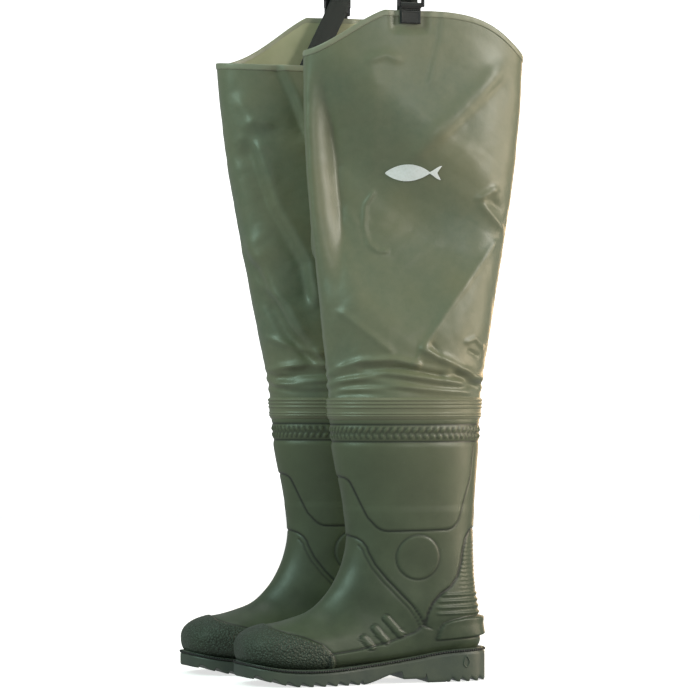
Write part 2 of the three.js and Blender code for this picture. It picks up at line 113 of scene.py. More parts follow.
def make_camera():
    """A long lens at boot height, looking from the front and the near side, very slightly upwards."""
    camera = bpy.data.cameras.new("camera")
    camera.lens = 155.2
    camera.sensor_width = 36.0
    camera.clip_end = 50.0
    eye = bpy.data.objects.new("camera", camera)
    eye.location = (-1.0355, -3.433, 0.331)
    turn, tilt = math.radians(16.8), math.radians(0.87)
    ahead = Vector((math.sin(turn) * math.cos(tilt), math.cos(turn) * math.cos(tilt), math.sin(tilt)))
    eye.rotation_euler = ahead.to_track_quat("-Z", "Y").to_euler()
    bpy.context.scene.collection.objects.link(eye)
    bpy.context.scene.camera = eye


# Soft rectangular lights: a name, a place and a size in metres, a power in watts and a colour.
LIGHTS = (
    ("key", (2.3, -1.9, 1.4), (0.8, 1.2), 40.0, (1.0, 0.96, 0.87)),
    ("front", (0.4, -3.2, 1.0), (0.7, 0.7), 8.0, (1.0, 0.99, 0.95)),
    ("fill", (-2.3, -0.9, 1.9), (1.2, 1.6), 34.0, (0.66, 1.0, 0.86)),
    ("warm_side", (2.3, -0.7, 0.5), (0.9, 1.4), 20.0, (1.0, 0.84, 0.62)),
    ("warm_back", (1.6, 1.6, 0.6), (0.5, 1.4), 14.0, (1.0, 0.68, 0.36)),
    ("top", (0.0, 0.2, 2.6), (1.4, 1.4), 8.0, (1.0, 1.0, 1.0)),
)
LIT_MIDDLE = Vector((0.0, 0.0, 0.4))


def make_lights():
    """The lights, each turned to the middle of the waders."""
    for name, place, size, power, colour in LIGHTS:
        lamp = bpy.data.lights.new(name, "AREA")
        lamp.shape = "RECTANGLE"
        lamp.size, lamp.size_y = size
        lamp.energy = power
        lamp.color = colour
        lamp_object = bpy.data.objects.new(name, lamp)
        lamp_object.location = place
        aim = LIT_MIDDLE - Vector(place)
        lamp_object.rotation_euler = aim.to_track_quat("-Z", "Y").to_euler()
        bpy.context.scene.collection.objects.link(lamp_object)


# ---- meshes from arrays --------------------------------------------------------------------------

def rework(mesh, *steps):
    """Opens a mesh for editing, applies each step to it in turn, and writes it back."""
    work = bmesh.new()
    work.from_mesh(mesh)
    for step in steps:
        step(work)
    work.to_mesh(mesh)
    work.free()


def face_out(work):
    """Turns the faces of a closed shape outwards."""
    bmesh.ops.recalc_face_normals(work, faces=work.faces)


def fill_ends(work):
    """Closes each open end with a face."""
    bmesh.ops.holes_fill(work, edges=[e for e in work.edges if e.is_boundary], sides=0)


def mesh_piece(name, points, faces, uv=None, merge=0.0):
    """A mesh object from points in metres and faces; uv is one pair for each point."""
    mesh = bpy.data.meshes.new(name)
    mesh.from_pydata(np.asarray(points, float).tolist(), [], np.asarray(faces).tolist())
    if uv is not None:
        corner = np.zeros(len(mesh.loops), np.int32)
        mesh.loops.foreach_get("vertex_index", corner)
        layer = mesh.uv_layers.new(name="UVMap")
        layer.data.foreach_set("uv", np.asarray(uv, np.float32)[corner].ravel())
    if merge > 0:
        rework(mesh, lambda work: bmesh.ops.remove_doubles(work, verts=work.verts, dist=merge),
               lambda work: bmesh.ops.dissolve_degenerate(work, edges=work.edges, dist=merge * 0.1))
    mesh.polygons.foreach_set("use_smooth", np.ones(len(mesh.polygons), bool))
    mesh.update()
    piece = bpy.data.objects.new(name, mesh)
    bpy.context.scene.collection.objects.link(piece)
    return piece


def grid_faces(rows, columns, wrap_rows=False, wrap_columns=False):
    """Corner numbers of a grid's four-sided faces; a wrapped side joins its last line to its first."""
    row = np.arange(rows if wrap_rows else rows - 1)
    column = np.arange(columns if wrap_columns else columns - 1)
    r, c = np.meshgrid(row, column, indexing="ij")
    after_r, after_c = (r + 1) % rows, (c + 1) % columns
    corners = [r * columns + c, r * columns + after_c, after_r * columns + after_c, after_r * columns + c]
    return np.stack(corners, -1).reshape(-1, 4)


def grid_piece(wader, name, grid, wrap_rows=False, wrap_columns=False, uv=None, merge=0.0):
    """A surface from a grid of points in millimetres about a wader, its faces turned outwards when
    the columns run from the toe by the inner side and the rows run downwards."""
    rows, columns = grid.shape[:2]
    faces = grid_faces(rows, columns, wrap_rows, wrap_columns)
    if wader.sign < 0:
        faces = faces[:, ::-1]
    points = wader.to_frame(grid.reshape(-1, 3))
    flat_uv = None if uv is None else uv.reshape(-1, 2)
    return mesh_piece(wader.node(name), points, faces, flat_uv, merge)


def turn_outwards(piece):
    """Recalculates a closed shape's normals so that they face out."""
    rework(piece.data, face_out)
    return piece


def closed_piece(wader, name, grid):
    """A surface from a grid that is joined to itself both ways, its faces turned outwards."""
    return turn_outwards(grid_piece(wader, name, grid, wrap_rows=True, wrap_columns=True))


def around(count):
    """Angles once round a circle, without the last, which is the first again."""
    return np.linspace(0, 2 * math.pi, count, endpoint=False)


def unit(vectors):
    """Vectors divided by their lengths."""
    return vectors / np.maximum(np.linalg.norm(vectors, axis=-1, keepdims=True), 1e-9)


def powered(value, power):
    """A sine or cosine raised to a power with its sign kept, which squares or pinches an oval."""
    return np.sign(value) * np.abs(value) ** power


def lengths(line):
    """How far along a line each of its points is."""
    return np.concatenate([[0], np.cumsum(np.linalg.norm(np.diff(line, axis=0), axis=1))])


def grid_normals(grid):
    """Unit normals of a grid: the cross product of its steps round the columns and down the rows."""
    down = np.gradient(grid, axis=0)
    round_ = (np.roll(grid, -1, axis=1) - np.roll(grid, 1, axis=1)) / 2
    return unit(np.cross(round_, down))


def spline(keys, share):
    """A uniform Catmull-Rom curve through the keys: share 0 is the first and 1 the last."""
    keys = np.asarray(keys, float)
    place = np.clip(share, 0, 1) * (len(keys) - 1)
    start = np.minimum(place.astype(int), len(keys) - 2)
    t = (place - start)[..., None]
    before, a = keys[np.maximum(start - 1, 0)], keys[start]
    b, after = keys[start + 1], keys[np.minimum(start + 2, len(keys) - 1)]
    v0, v1 = (b - before) / 2, (after - a) / 2
    return ((2 * a - 2 * b + v0 + v1) * t + (-3 * a + 3 * b - 2 * v0 - v1)) * t * t + v0 * t + a


def smooth(low, high, value):
    """0 below low, 1 above high, and an s-shaped rise between them."""
    t = np.clip((value - low) / (high - low), 0, 1)
    return t * t * (3 - 2 * t)


def distance_to_line(x, z, line):
    """The least distance of each point to a line of straight stretches."""
    best = np.full(x.shape, 1e9)
    for (ax, az), (bx, bz) in zip(line[:-1], line[1:]):
        dx, dz = bx - ax, bz - az
        t = np.clip(((x - ax) * dx + (z - az) * dz) / (dx * dx + dz * dz + 1e-9), 0, 1)
        best = np.minimum(best, np.hypot(x - ax - t * dx, z - az - t * dz))
    return best


def depth_inside(x, z, outline):
    """Distance to a closed outline, positive inside it and negative outside."""
    ring = list(outline) + [outline[0]]
    inside = np.zeros(x.shape, bool)
    for (ax, az), (bx, bz) in zip(ring[:-1], ring[1:]):
        crosses = (az > z) != (bz > z)
        inside ^= crosses & (x < (bx - ax) * (z - az) / (bz - az + 1e-12) + ax)
    return np.where(inside, 1.0, -1.0) * distance_to_line(x, z, ring)


def set_attribute(piece, name, values):
    """Stores one number for each point of a piece, for its material to read."""
    layer = piece.data.attributes.new(name, "FLOAT", "POINT")
    layer.data.foreach_set("value", np.asarray(values, np.float32).ravel())


# ---- the boot ------------------------------------------------------------------------------------

def along_foot(share):
    """x at a share of the foot's length, from 0 at the heel to 1 at the toe."""
    return HEEL_X - share * FOOT_LENGTH


def up_shaft(share):
    """Height at a share of the shaft, from 0 at the ankle to 1 at the boot's top edge."""
    return ANKLE_TOP + share * (SHAFT_TOP - ANKLE_TOP)


# Half widths of the foot at its ball and at its heel.
BALL, HEEL = 53.0, 37.0

# Slices from the boot's top edge, round the heel and on to the toe: the front or instep point, the
# back or sole point, the half width, and how square the sole side is.
SLICES = np.array([
    [-91, up_shaft(1), 91, up_shaft(1), 57, 2],
    [-86.5, up_shaft(0.67), 89.2, up_shaft(0.67), 54, 2],
    [-76, up_shaft(0.3), 85.5, up_shaft(0.33), 49, 2],
    [-70, up_shaft(0), 82, up_shaft(-0.05), 45, 2],
    [-75, 140, 84, 112, 42, 2.1],
    [along_foot(0.61), 113, 89, 68, 1.13 * HEEL, 2.3],
    [along_foot(0.66), 94, along_foot(0.04), 36, 1.06 * HEEL, 2.6],
    [along_foot(0.71), 82, along_foot(0.27), 28, 1.06 * HEEL, 3.2],
    [along_foot(0.77), 75, along_foot(0.5), 22, 0.84 * BALL, 3.6],
    [along_foot(0.83), 70, along_foot(0.68), 17, 0.96 * BALL, 3.8],
    [along_foot(0.89), 67, along_foot(0.82), 18, 0.94 * BALL, 3.6],
    [along_foot(0.94), 62, along_foot(0.92), 22, 0.78 * BALL, 3.2],
    [along_foot(0.975), 54, along_foot(0.97), 27, 0.5 * BALL, 2.6],
    [along_foot(0.99), 42, along_foot(0.99), 38, 0, 2],
])

SOLE_LINE = [(along_foot(s), z) for s, z in
             ((-0.15, 38), (0, 38), (0.18, 36), (0.34, 29), (0.5, 23), (0.68, 19), (0.84, 20), (1, 28),
              (1.1, 33))]


def sole_height(x):
    """Height of the line where upper and outsole meet, along the foot."""
    line = spline(SOLE_LINE, np.linspace(0, 1, 400))
    return np.interp(-np.asarray(x), -line[:, 0], line[:, 1])


def boot_skin(slice_, angle, inset=0.0):
    """The boot as slices across it: each is an oval between its front and back points, squarer on
    its sole side by a power of the cosine and the sine."""
    key = spline(SLICES, slice_)
    front, back, half, square = key[..., 0:2], key[..., 2:4], key[..., 4], key[..., 5]
    middle, reach = (front + back) / 2, (front - back) / 2
    length = np.linalg.norm(reach, axis=-1)
    shrink = np.maximum(0, 1 - inset / np.maximum(length, inset + 1e-3))
    power = np.where(np.cos(angle) < 0, 2 / square, 1)
    along = powered(np.cos(angle), power) * shrink
    across = powered(np.sin(angle), power) * np.maximum(half - inset, 0)
    x = middle[..., 0] + reach[..., 0] * along + inset * smooth(0.8, 1, slice_)
    z = middle[..., 1] + reach[..., 1] * along
    return np.stack([x, across + 4 * smooth(-60, -190, x), z], -1)


def arc(centre, radius, start, end, count):
    """Points on an arc between two angles in degrees."""
    turn = np.radians(np.linspace(start, end, count))
    return [(centre[0] + radius * math.cos(t), centre[1] + radius * math.sin(t)) for t in turn]


# Outlines of the raised panels, seen from the side.
SHAFT_PANEL = ([(-150, 277), (-150, 240), (-84, 239.5), *arc((-84, 225), 14, 70, 25, 4), (-60, 205)]
               + [(-53, 191), *arc((-32, 194), 18, 215, 270, 5), (30, 177)]
               + [*arc((36, 196), 19, -75, -15, 5), (62, 214), (70, 236), (74, 277)])
ANKLE_LINE = [(-120, 171), (-84, 171), *arc((-76, 146), 25, 75, 10, 5), (-45, 137), (-33, 121),
              (-16, 103), (-3, 90), (7, 77), (12, 67)]
HEEL_LINE = [(12, 67), (15, 79), (21, 92), (31, 102), (44, 110), (53, 121), (58, 136), (61, 152),
             (65, 166), (72, 175), (130, 182)]
ANKLE_PANEL = ANKLE_LINE + HEEL_LINE[1:] + [(130, 205), (-120, 205)]
HEEL_PANEL = HEEL_LINE + [(130, 60), (60, 60), (34, 62)]
RAND = [(-108, 8), (-104, 35), (-70, 39), (-31, 47), (-2, 57), (10, 65), (24, 60), (32, 56), (32, 8)]
TOE_CAP = [(-94, 8), (-98, 28), (-103, 37), (-114, 47), (-134, 55), (-150, 59), (-166, 64),
           (-172, 90), (-240, 90), (-240, 8)]
SPUR = [(28, 49), (31, 60), (36, 67), (45, 70), (63, 73), (84, 74), (130, 76), (130, 53), (90, 52)]
BARS = [((-62, 53), (-53, 43)), ((-48, 64), (-35, 49)), ((-34, 75), (-17, 56))]
DISC_CENTRE, DISC_RADIUS = (3.0, 145.0), 25.0


def groove(distance, width, depth):
    """A groove's height: a bell curve of the distance from its middle, downwards."""
    return -depth * np.exp(-((distance / width) ** 2))


class Relief:
    """Heights over the plain skin in mm, and where fine grooves run, from 0 to 1."""

    def __init__(self, x, z):
        self.x, self.z = x, z
        self.height = np.zeros(x.shape)
        self.recess = np.zeros(x.shape)

    def panel(self, outline, height, edge=1.3, where=1.0, cut=0.9):
        """A raised panel with a soft edge and a fine groove just outside it."""
        inside = depth_inside(self.x, self.z, outline)
        self.height += height * smooth(-edge, edge, inside) * where
        self.cut(inside + edge * 0.6, where, cut)

    def cut(self, distance, where=1.0, depth=0.9, width=1.25):
        """A fine groove where the distance is 0."""
        self.height += groove(distance, width, depth) * where
        line = -groove(distance, width * 0.9, 1.0) * where
        self.recess = np.maximum(self.recess, line * min(1.0, depth))


def boot_relief(grid, angle):
    """The moulding's heights at each point, its grooves, and the toe cap's share."""
    x, z = grid[..., 0], grid[..., 2]
    relief = Relief(x, z)
    low = 1 - smooth(196, 206, z)
    relief.panel(SHAFT_PANEL, 0.8, where=smooth(277, 272, z))
    relief.panel(ANKLE_PANEL, 0.7, where=low * (z > 60))
    relief.cut(distance_to_line(x, z, [(a - 4.6, b - 4.2) for a, b in ANKLE_LINE[4:]]), depth=0.6)
    relief.panel(HEEL_PANEL, 0.6, where=low * smooth(64, 72, z))
    in_heel = smooth(1.0, 3.0, depth_inside(x, z, HEEL_PANEL))
    # The heel counter's thick ribs are 7.2 mm apart, and the fine ones above them 4.8 mm.
    thick = np.maximum(0, np.cos((z - 79) * math.pi * 2 / 7.2)) ** 0.5
    thick *= in_heel * smooth(75, 78, z) * smooth(105, 101, z) * smooth(24, 32, x)
    fine = np.maximum(0, np.cos((z - 79) * math.pi * 2 / 4.8)) ** 0.6
    fine *= in_heel * smooth(103, 108, z) * smooth(172, 160, z) * smooth(54, 62, x)
    relief.height += 1.6 * thick + 0.8 * fine
    round_ankle = DISC_RADIUS - np.hypot(x - DISC_CENTRE[0], z - DISC_CENTRE[1])
    relief.height += 0.9 * smooth(-1.2, 1.2, round_ankle)
    relief.cut(round_ankle + 0.8, depth=0.6)
    for start, end in BARS:
        away = distance_to_line(x, z, [start, end])
        relief.height += 1.7 * smooth(4.4, 2.8, away)
        relief.cut(away - 4.6, depth=0.55, width=1.0)
    relief.panel(RAND, 1.1, where=smooth(26, 12, x))
    cap = depth_inside(x, z, TOE_CAP)
    relief.height += 1.6 * smooth(-1.2, 1.2, cap)
    relief.cut(cap + 1.0, depth=0.8)
    spur = depth_inside(x, z, SPUR)
    relief.height += (2.4 + 3.8 * smooth(55, 92, x)) * smooth(-1.2, 1.0, spur)
    relief.cut(spur + 1.4, depth=0.5)
    relief.cut(z - 298.0, depth=0.9)
    relief.cut(z - 278.0, depth=0.9)
    # The band of leaves: two rows with opposite slants, a leaf for every 7.2 mm of the way round.
    round_ = angle * 74
    in_band = smooth(279.5, 281, z) * smooth(296.5, 295, z)
    row = np.where(z > 288, 1.0, 0.0)
    slant = np.where(z > 288, 0.75, -0.75)
    centre, above = np.mod(round_ + 3.6 * row, 7.2) - 3.6, z - 284 - 8 * row
    leaf = 1 - np.hypot((centre + slant * above) / 2.3, (above - slant * centre) / 4.4)
    relief.height += in_band * 1.2 * smooth(0, 0.5, leaf)
    # The gaps between the leaves join the recess, which the boot's material darkens as painted shade.
    relief.recess = np.maximum(relief.recess, in_band * 0.5 * smooth(0.1, -0.25, leaf))
    return relief, smooth(-0.5, 3.0, cap)


def make_boot(wader):
    """The upper: slices carried round the heel to the toe, with the moulded relief along the normal."""
    rows, columns = 340, 290
    share = np.concatenate([np.linspace(0, 0.46, rows - 150), np.linspace(0.46, 1, 151)[1:]])
    s, a = np.meshgrid(share, around(columns), indexing="ij")
    grid = boot_skin(s, a)
    relief, cap = boot_relief(grid, a)
    fade = smooth(0.985, 0.93, s)
    grid = grid + grid_normals(grid) * (relief.height * fade)[..., None]
    boot = grid_piece(wader, "boot", grid, wrap_columns=True)
    set_attribute(boot, "toe_cap", cap)
    # The boot's material darkens the grooves by this recess share: painted shade.
    set_attribute(boot, "recess", relief.recess)
    return boot


def make_lining(wader):
    """The knitted lining: the boot's skin moved in by the wall, seen down the leg."""
    share = np.linspace(0, 0.99, 70)
    s, a = np.meshgrid(share, around(72), indexing="ij")
    grid = boot_skin(s, a, inset=3.2)
    floor = sole_height(grid[..., 0]) + 4.0
    grid[..., 2] = np.maximum(grid[..., 2], floor)
    lining = grid_piece(wader, "boot_lining", grid, wrap_columns=True)
    wall = lining.modifiers.new("cloth", "SOLIDIFY")
    wall.thickness = 0.8 * MM
    wall.offset = -1
    return lining


# ---- the outsole ---------------------------------------------------------------------------------

OUTER_EDGE = [(1, 0.08 * BALL), (0.97, -0.5 * BALL), (0.9, -0.84 * BALL), (0.79, -1.0 * BALL),
              (0.68, -1.02 * BALL), (0.52, -1.2 * HEEL), (0.37, -1.05 * HEEL), (0.22, -1.0 * HEEL),
              (0.09, -0.96 * HEEL), (0.02, -0.6 * HEEL), (0, 0)]
INNER_EDGE = [(1, 0.08 * BALL), (0.97, 0.56 * BALL), (0.9, 0.86 * BALL), (0.79, 0.98 * BALL),
              (0.68, 0.93 * BALL), (0.52, 1.08 * HEEL), (0.37, 0.94 * HEEL), (0.22, 0.98 * HEEL),
              (0.09, 0.96 * HEEL), (0.02, 0.6 * HEEL), (0, 0)]
CLEAT_DEPTH, CLEAT_PITCH = 4.0, 15.0
HEEL_BREAST = 16.0


def tread_height(x, y):
    """The tread from heel to toe: a flat heel block with fine cleats behind it, the arch, and the
    forefoot's cleats, whose fronts point forward in the middle of the foot."""
    skew = x - 0.22 * np.abs(y)
    spring = 10 * smooth(-along_foot(0.78), -along_foot(1), -x)
    phase = np.mod(along_foot(0.53) - skew, CLEAT_PITCH) / CLEAT_PITCH
    cleat = CLEAT_DEPTH * smooth(0.15, 0.8, phase) * smooth(1.0, 0.9, phase)
    split = CLEAT_DEPTH * smooth(3.2, 2.2, np.abs(y)) * smooth(-55, -65, x) * smooth(-190, -180, x)
    fore = spring + np.maximum(cleat, split)
    heel_phase = np.mod(HEEL_X - 4 - x, 12.0) / 12.0
    heel = CLEAT_DEPTH * smooth(0.2, 0.8, heel_phase) * smooth(1.0, 0.9, heel_phase)
    heel = heel * smooth(HEEL_BREAST + 22, HEEL_BREAST + 24, x)
    arch = 13 * smooth(along_foot(0.53) - 4, HEEL_BREAST - 30, x)
    front_block = 13 - 8.5 * smooth(-15, -13, x) + 4.5 * smooth(13, 14, x) * smooth(17, 16, x)
    arch = np.minimum(arch, np.where(x > -16, front_block, 13))
    blend = smooth(HEEL_BREAST - 1, HEEL_BREAST + 1, x)
    under = arch * (1 - blend) + heel * blend
    return np.where(x < along_foot(0.53), fore, under)


def sole_edge(keys, share):
    """The outsole's outline in plan, from the toe to the heel."""
    line = spline(keys, share)
    return np.stack([along_foot(line[:, 0]), line[:, 1]], -1)


def plan_normals(edge, sign):
    """Unit vectors out of the outline, seen from above."""
    step = np.gradient(edge, axis=0)
    normal = np.stack([step[:, 1], -step[:, 0]], -1) * sign
    return unit(normal)


def sole_wall(share, keys, sign):
    """Points on the outsole's plan outline, with their outward directions."""
    edge = sole_edge(keys, share)
    normal = plan_normals(edge, sign)
    normal[0], normal[-1] = (-1, 0), (1, 0)
    return edge, normal


def make_outsole(wader):
    """The outsole as loops across the foot: over its top, down one side wall, along the tread and up
    the other wall. The wall carries a welt groove and draws in at its foot."""
    count, wall_rows, tread_columns = 560, 16, 40
    share = (1 - np.cos(np.linspace(0, math.pi, count))) / 2
    share = 0.5 * share + 0.5 * np.linspace(0, 1, count)
    down = np.linspace(0, 1, wall_rows)
    sides = []
    for keys, sign in ((OUTER_EDGE, 1), (INNER_EDGE, -1)):
        edge, normal = sole_wall(share, keys, sign)
        top = sole_height(edge[:, 0])
        base = tread_height(edge[:, 0], edge[:, 1])
        z = top[:, None] + (base - top)[:, None] * down[None, :]
        below = top[:, None] - z
        out = 0.9 * smooth(3.4, 4.4, below) + groove(below - 2.0, 1.4, 1.0)
        out = out - 1.1 * smooth(1.5, 0.0, below) - 0.8 * smooth(0.92, 1.0, down)
        wall = np.empty((count, wall_rows, 3))
        wall[..., :2] = edge[:, None, :] + normal[:, None, :] * (out - 0.6)[..., None]
        wall[..., 2] = z
        sides.append(wall)
    outer, inner = sides
    across = np.linspace(0, 1, tread_columns + 2)[1:-1][None, :, None]
    bottom = outer[:, -1:, :] * (1 - across) + inner[:, -1:, :] * across
    bottom[..., 2] = tread_height(bottom[..., 0], bottom[..., 1])
    top = inner[:, :1, :] * 0.75 + outer[:, :1, :] * 0.25
    top_too = inner[:, :1, :] * 0.25 + outer[:, :1, :] * 0.75
    loops = np.concatenate([outer, bottom, inner[:, ::-1], top, top_too], axis=1)
    sole = grid_piece(wader, "sole", loops, wrap_columns=True, merge=0.00012)
    return turn_outwards(sole)


def tube(line, radius):
    """A grid of points round a closed line: a circle of the given radius across it at each point."""
    along = unit(np.roll(line, -1, axis=0) - np.roll(line, 1, axis=0))
    side = unit(np.cross(along, np.tile([0.0, 0.0, 1.0], (len(line), 1))))
    up = np.cross(side, along)
    turn = around(8)[None, :, None]
    ring = side[:, None, :] * np.cos(turn) + up[:, None, :] * np.sin(turn)
    return line[:, None, :] + np.broadcast_to(radius, len(line))[:, None, None] * ring


def make_welt(wader):
    """The dark corded bead that closes the join of upper and outsole: a tube all round the sole's
    top edge, its radius swelling once for every twist of the cord."""
    share = np.linspace(0, 1, 900)
    outer, out_normal = sole_wall(share, OUTER_EDGE, 1)
    inner, in_normal = sole_wall(share, INNER_EDGE, -1)
    plan = np.concatenate([outer, inner[-2:0:-1]])
    normal = np.concatenate([out_normal, in_normal[-2:0:-1]])
    walk = lengths(plan)
    even = np.linspace(0, walk[-1], 1500)[:-1]
    x, y = np.interp(even, walk, plan[:, 0]), np.interp(even, walk, plan[:, 1])
    nx, ny = np.interp(even, walk, normal[:, 0]), np.interp(even, walk, normal[:, 1])
    line = np.stack([x + 0.05 * nx, y + 0.05 * ny, sole_height(x) - 1.6], -1)
    twists = round(walk[-1] / 3.0)
    radius = 1.15 + 0.22 * np.cos(even / walk[-1] * 2 * math.pi * twists)
    return closed_piece(wader, "welt", tube(line, radius))


def make_heel_drop(wader):
    """A raised drop-shaped ring on the heel's outer side: a circle whose top is drawn to a point."""
    turn = around(60)
    x = 64 + 3.6 * np.sin(turn) * (1 - 0.55 * np.maximum(0, np.cos(turn)))
    z = 23 + 6.4 * np.cos(turn)
    line = spline(OUTER_EDGE, np.linspace(0, 1, 400))
    y = np.interp(x, along_foot(line[:, 0]), line[:, 1])
    return closed_piece(wader, "heel_drop", tube(np.stack([x, y - 0.55, z], -1), 0.75))


# ---- the leg -------------------------------------------------------------------------------------

def leg_size(height, lean):
    """The leg's middle, half length and half width at a height."""
    share = np.clip((height - SHAFT_TOP) / (RIM_CORNER - SHAFT_TOP), 0, 1)
    swell = np.sin(share * math.pi / 2) ** 1.4
    flatten = smooth(0.1, 1, share)
    length = SHAFT_HALF[0] + (RIM_HALF[0] - SHAFT_HALF[0]) * swell
    width = SHAFT_HALF[1] + (RIM_HALF[1] - SHAFT_HALF[1]) * flatten
    return lean * share, length, width


def rim_height(wader, angle):
    """The rim: level on the inner side, raised between two slopes on the outer one."""
    inner = np.sin(angle)
    back = (1 - np.cos(angle)) / 2
    before = np.clip(back / wader.slopes[0], 0, 1) ** wader.bends[0]
    behind = 1 - (1 - np.clip((1 - back) / wader.slopes[1], 0, 1)) ** wader.bends[1]
    rise = np.minimum(before, behind)
    soft = rise * rise * (3 - 2 * rise) * 0.35 + rise * 0.65
    raised = np.where(inner < 0, soft, 0)
    return RIM_CORNER + (wader.peak - RIM_CORNER) * raised - 5 * np.maximum(inner, 0)


# Folds in the fabric of the outer side, seen from the side: a kind, its line, its height in mm and
# its half width. A ridge is a rounded crest, a step is an s-shaped change of depth that rises to the
# right of its line as it is walked, and a turn bends everything to the right of its line inwards.
OUTER_FOLDS = [
    ("turn", [(112, 526), (45, 442), (2, 384)], 36.0, 46),
    ("ridge", [(104, 514), (45, 442), (2, 384)], 2.4, 5),
    ("ridge", [(0, 386), (39, 368), (90, 347)], 5.0, 6),
    ("ridge", [(38, 362), (84, 338)], -4.6, 6),
    ("turn", [(-92, 452), (-50, 424), (4, 376)], 8.0, 24),
    ("ridge", [(-112, 356), (-66, 371), (-30, 373), (2, 366)], 4.2, 4.5),
    ("ridge", [(-96, 347), (-40, 356), (6, 352), (60, 344)], 3.2, 4.2),
    ("ridge", [(-70, 362), (-20, 363), (30, 354)], -3.2, 3.4),
    ("ridge", [(-100, 338), (-20, 341), (70, 334)], 2.2, 3.4),
    ("ridge", [(-110, 352), (-96, 344)], -4.0, 5),
    ("ridge", [(-52, 720), (-50, 640), (-48, 590)], 1.6, 14),
    ("ridge", [(112, 722), (58, 668), (16, 628), (-8, 596)], 3.4, 15),
    ("step", [(112, 706), (60, 655), (24, 622)], 3.4, 10),
    ("ridge", [(-48, 568), (-60, 553), (-63, 528), (-57, 507), (-44, 498), (-30, 499)], 2.0, 3.0),
    ("step", [(-86, 552), (-74, 537), (-58, 505)], 1.6, 8),
    ("step", [(12, 690), (27, 745), (29, 782)], 1.5, 5),
    ("ridge", [(76, 558), (104, 574)], 3.2, 5),
    ("ridge", [(80, 556), (114, 524)], 3.2, 6),
    ("ridge", [(92, 560), (112, 548)], -3.2, 7),
    ("ridge", [(-60, 716), (-36, 724), (-18, 716)], 2.4, 7),
    ("ridge", [(14, 392), (26, 376)], -2.2, 3),
    ("ridge", [(58, 392), (72, 398), (86, 386)], 2.2, 3),
    ("ridge", [(62, 384), (80, 376)], -2.2, 3),
    ("step", [(-94, 520), (-70, 470), (-66, 430)], 1.8, 12),
    ("ridge", [(-90, 430), (-60, 404), (-30, 380)], 2.0, 5),
]

# Folds of the inner side, along the right leg's own axes.
INNER_FOLDS = [
    ("step", [(-124, 636), (-98, 556), (-62, 490), (-54, 440)], -12.0, 9),
    ("step", [(-146, 610), (-136, 552), (-120, 486)], -7.0, 7),
    ("step", [(-136, 516), (-112, 484), (-78, 412), (-40, 364)], -12.0, 9),
    ("step", [(-94, 728), (-76, 690), (-58, 640)], -8.0, 7),
    ("ridge", [(-134, 650), (-118, 662), (-100, 652)], 3.0, 8),
    ("ridge", [(-118, 470), (-80, 440), (-60, 400)], 3.4, 8),
    ("ridge", [(-140, 690), (-112, 640)], 2.6, 9),
    ("step", [(-20, 700), (-30, 620), (-10, 540)], 4.0, 12),
    ("step", [(30, 640), (50, 560), (46, 470)], 5.0, 12),
    ("ridge", [(80, 700), (60, 600), (70, 520)], 2.8, 12),
    ("step", [(20, 470), (50, 420), (80, 392)], 5.0, 9),
    ("ridge", [(-112, 360), (-60, 369), (20, 364), (84, 352)], 4.0, 5),
    ("ridge", [(-100, 344), (-20, 350), (70, 342)], 3.2, 4.5),
    ("ridge", [(-90, 354), (0, 358), (60, 350)], -2.8, 3.6),
    ("ridge", [(-104, 402), (-70, 388), (-40, 380)], 2.6, 5),
    ("step", [(-104, 440), (-84, 400), (-60, 372)], 4.0, 6),
]


def line_measures(x, z, line):
    """For each point: its signed distance from a line, positive to the right of its direction, and
    how far along the line its nearest point is, in mm from the start and from the end."""
    best, signed, along = np.full(x.shape, 1e9), np.zeros(x.shape), np.zeros(x.shape)
    passed = 0.0
    for (ax, az), (bx, bz) in zip(line[:-1], line[1:]):
        dx, dz = bx - ax, bz - az
        length = math.hypot(dx, dz)
        run = ((x - ax) * dx + (z - az) * dz) / length
        off = ((x - ax) * dz - (z - az) * dx) / length
        away = np.hypot(off, run - np.clip(run, 0, length))
        nearer = away < best
        best = np.where(nearer, away, best)
        signed = np.where(nearer, np.where(off < 0, -away, away), signed)
        along = np.where(nearer, passed + run, along)
        passed += length
    return signed, along, passed - along


def fold(x, z, kind, line, height, width):
    """A ridge falls off as the square of the distance; a step is the distance over one plus its
    square; a turn goes inwards towards a limit. All die out near the ends of the line."""
    off, after_start, before_end = line_measures(x, z, line)
    taper = 1.6 * width
    ends = smooth(-0.5 * taper, taper, after_start) * smooth(-0.5 * taper, taper, before_end)
    share = off / width
    if kind == "ridge":
        return height * ends / (1 + share**2) ** 1.6
    if kind == "step":
        return height * ends * share / (1 + share**2) ** 1.3
    past = np.logaddexp(0, 6 * share) / 6
    return -height * ends * (1 - np.exp(-past))


WAVES = 7


def wrinkles(points, seed, wavelength):
    """Soft crossing wrinkles: folded-over sine waves in random directions, the same on every run."""
    chance = np.random.default_rng(seed)
    total = np.zeros(points.shape[:-1])
    for _ in range(WAVES):
        direction = chance.normal(size=3) * (1.0, 1.0, 0.75)
        direction /= np.linalg.norm(direction)
        length = wavelength * chance.uniform(0.7, 1.6)
        bend = np.sin(points @ chance.normal(size=3) / 90 + chance.uniform(0, 6)) * 1.6
        wave = np.sin(points @ direction * 2 * math.pi / length + bend + chance.uniform(0, 6))
        patches = np.sin(points @ chance.normal(size=3) / 130 + chance.uniform(0, 6))
        total += (1 - np.abs(wave)) ** 1.6 * patches
    return total / math.sqrt(WAVES)


# How far the fabric stands out from its plain ovals, the height at which it comes out of the weld
# band, and the height of its foot inside the band.
FULLNESS = 2.2
BAND_TOP = 330
LEG_FOOT = SHAFT_TOP - 8


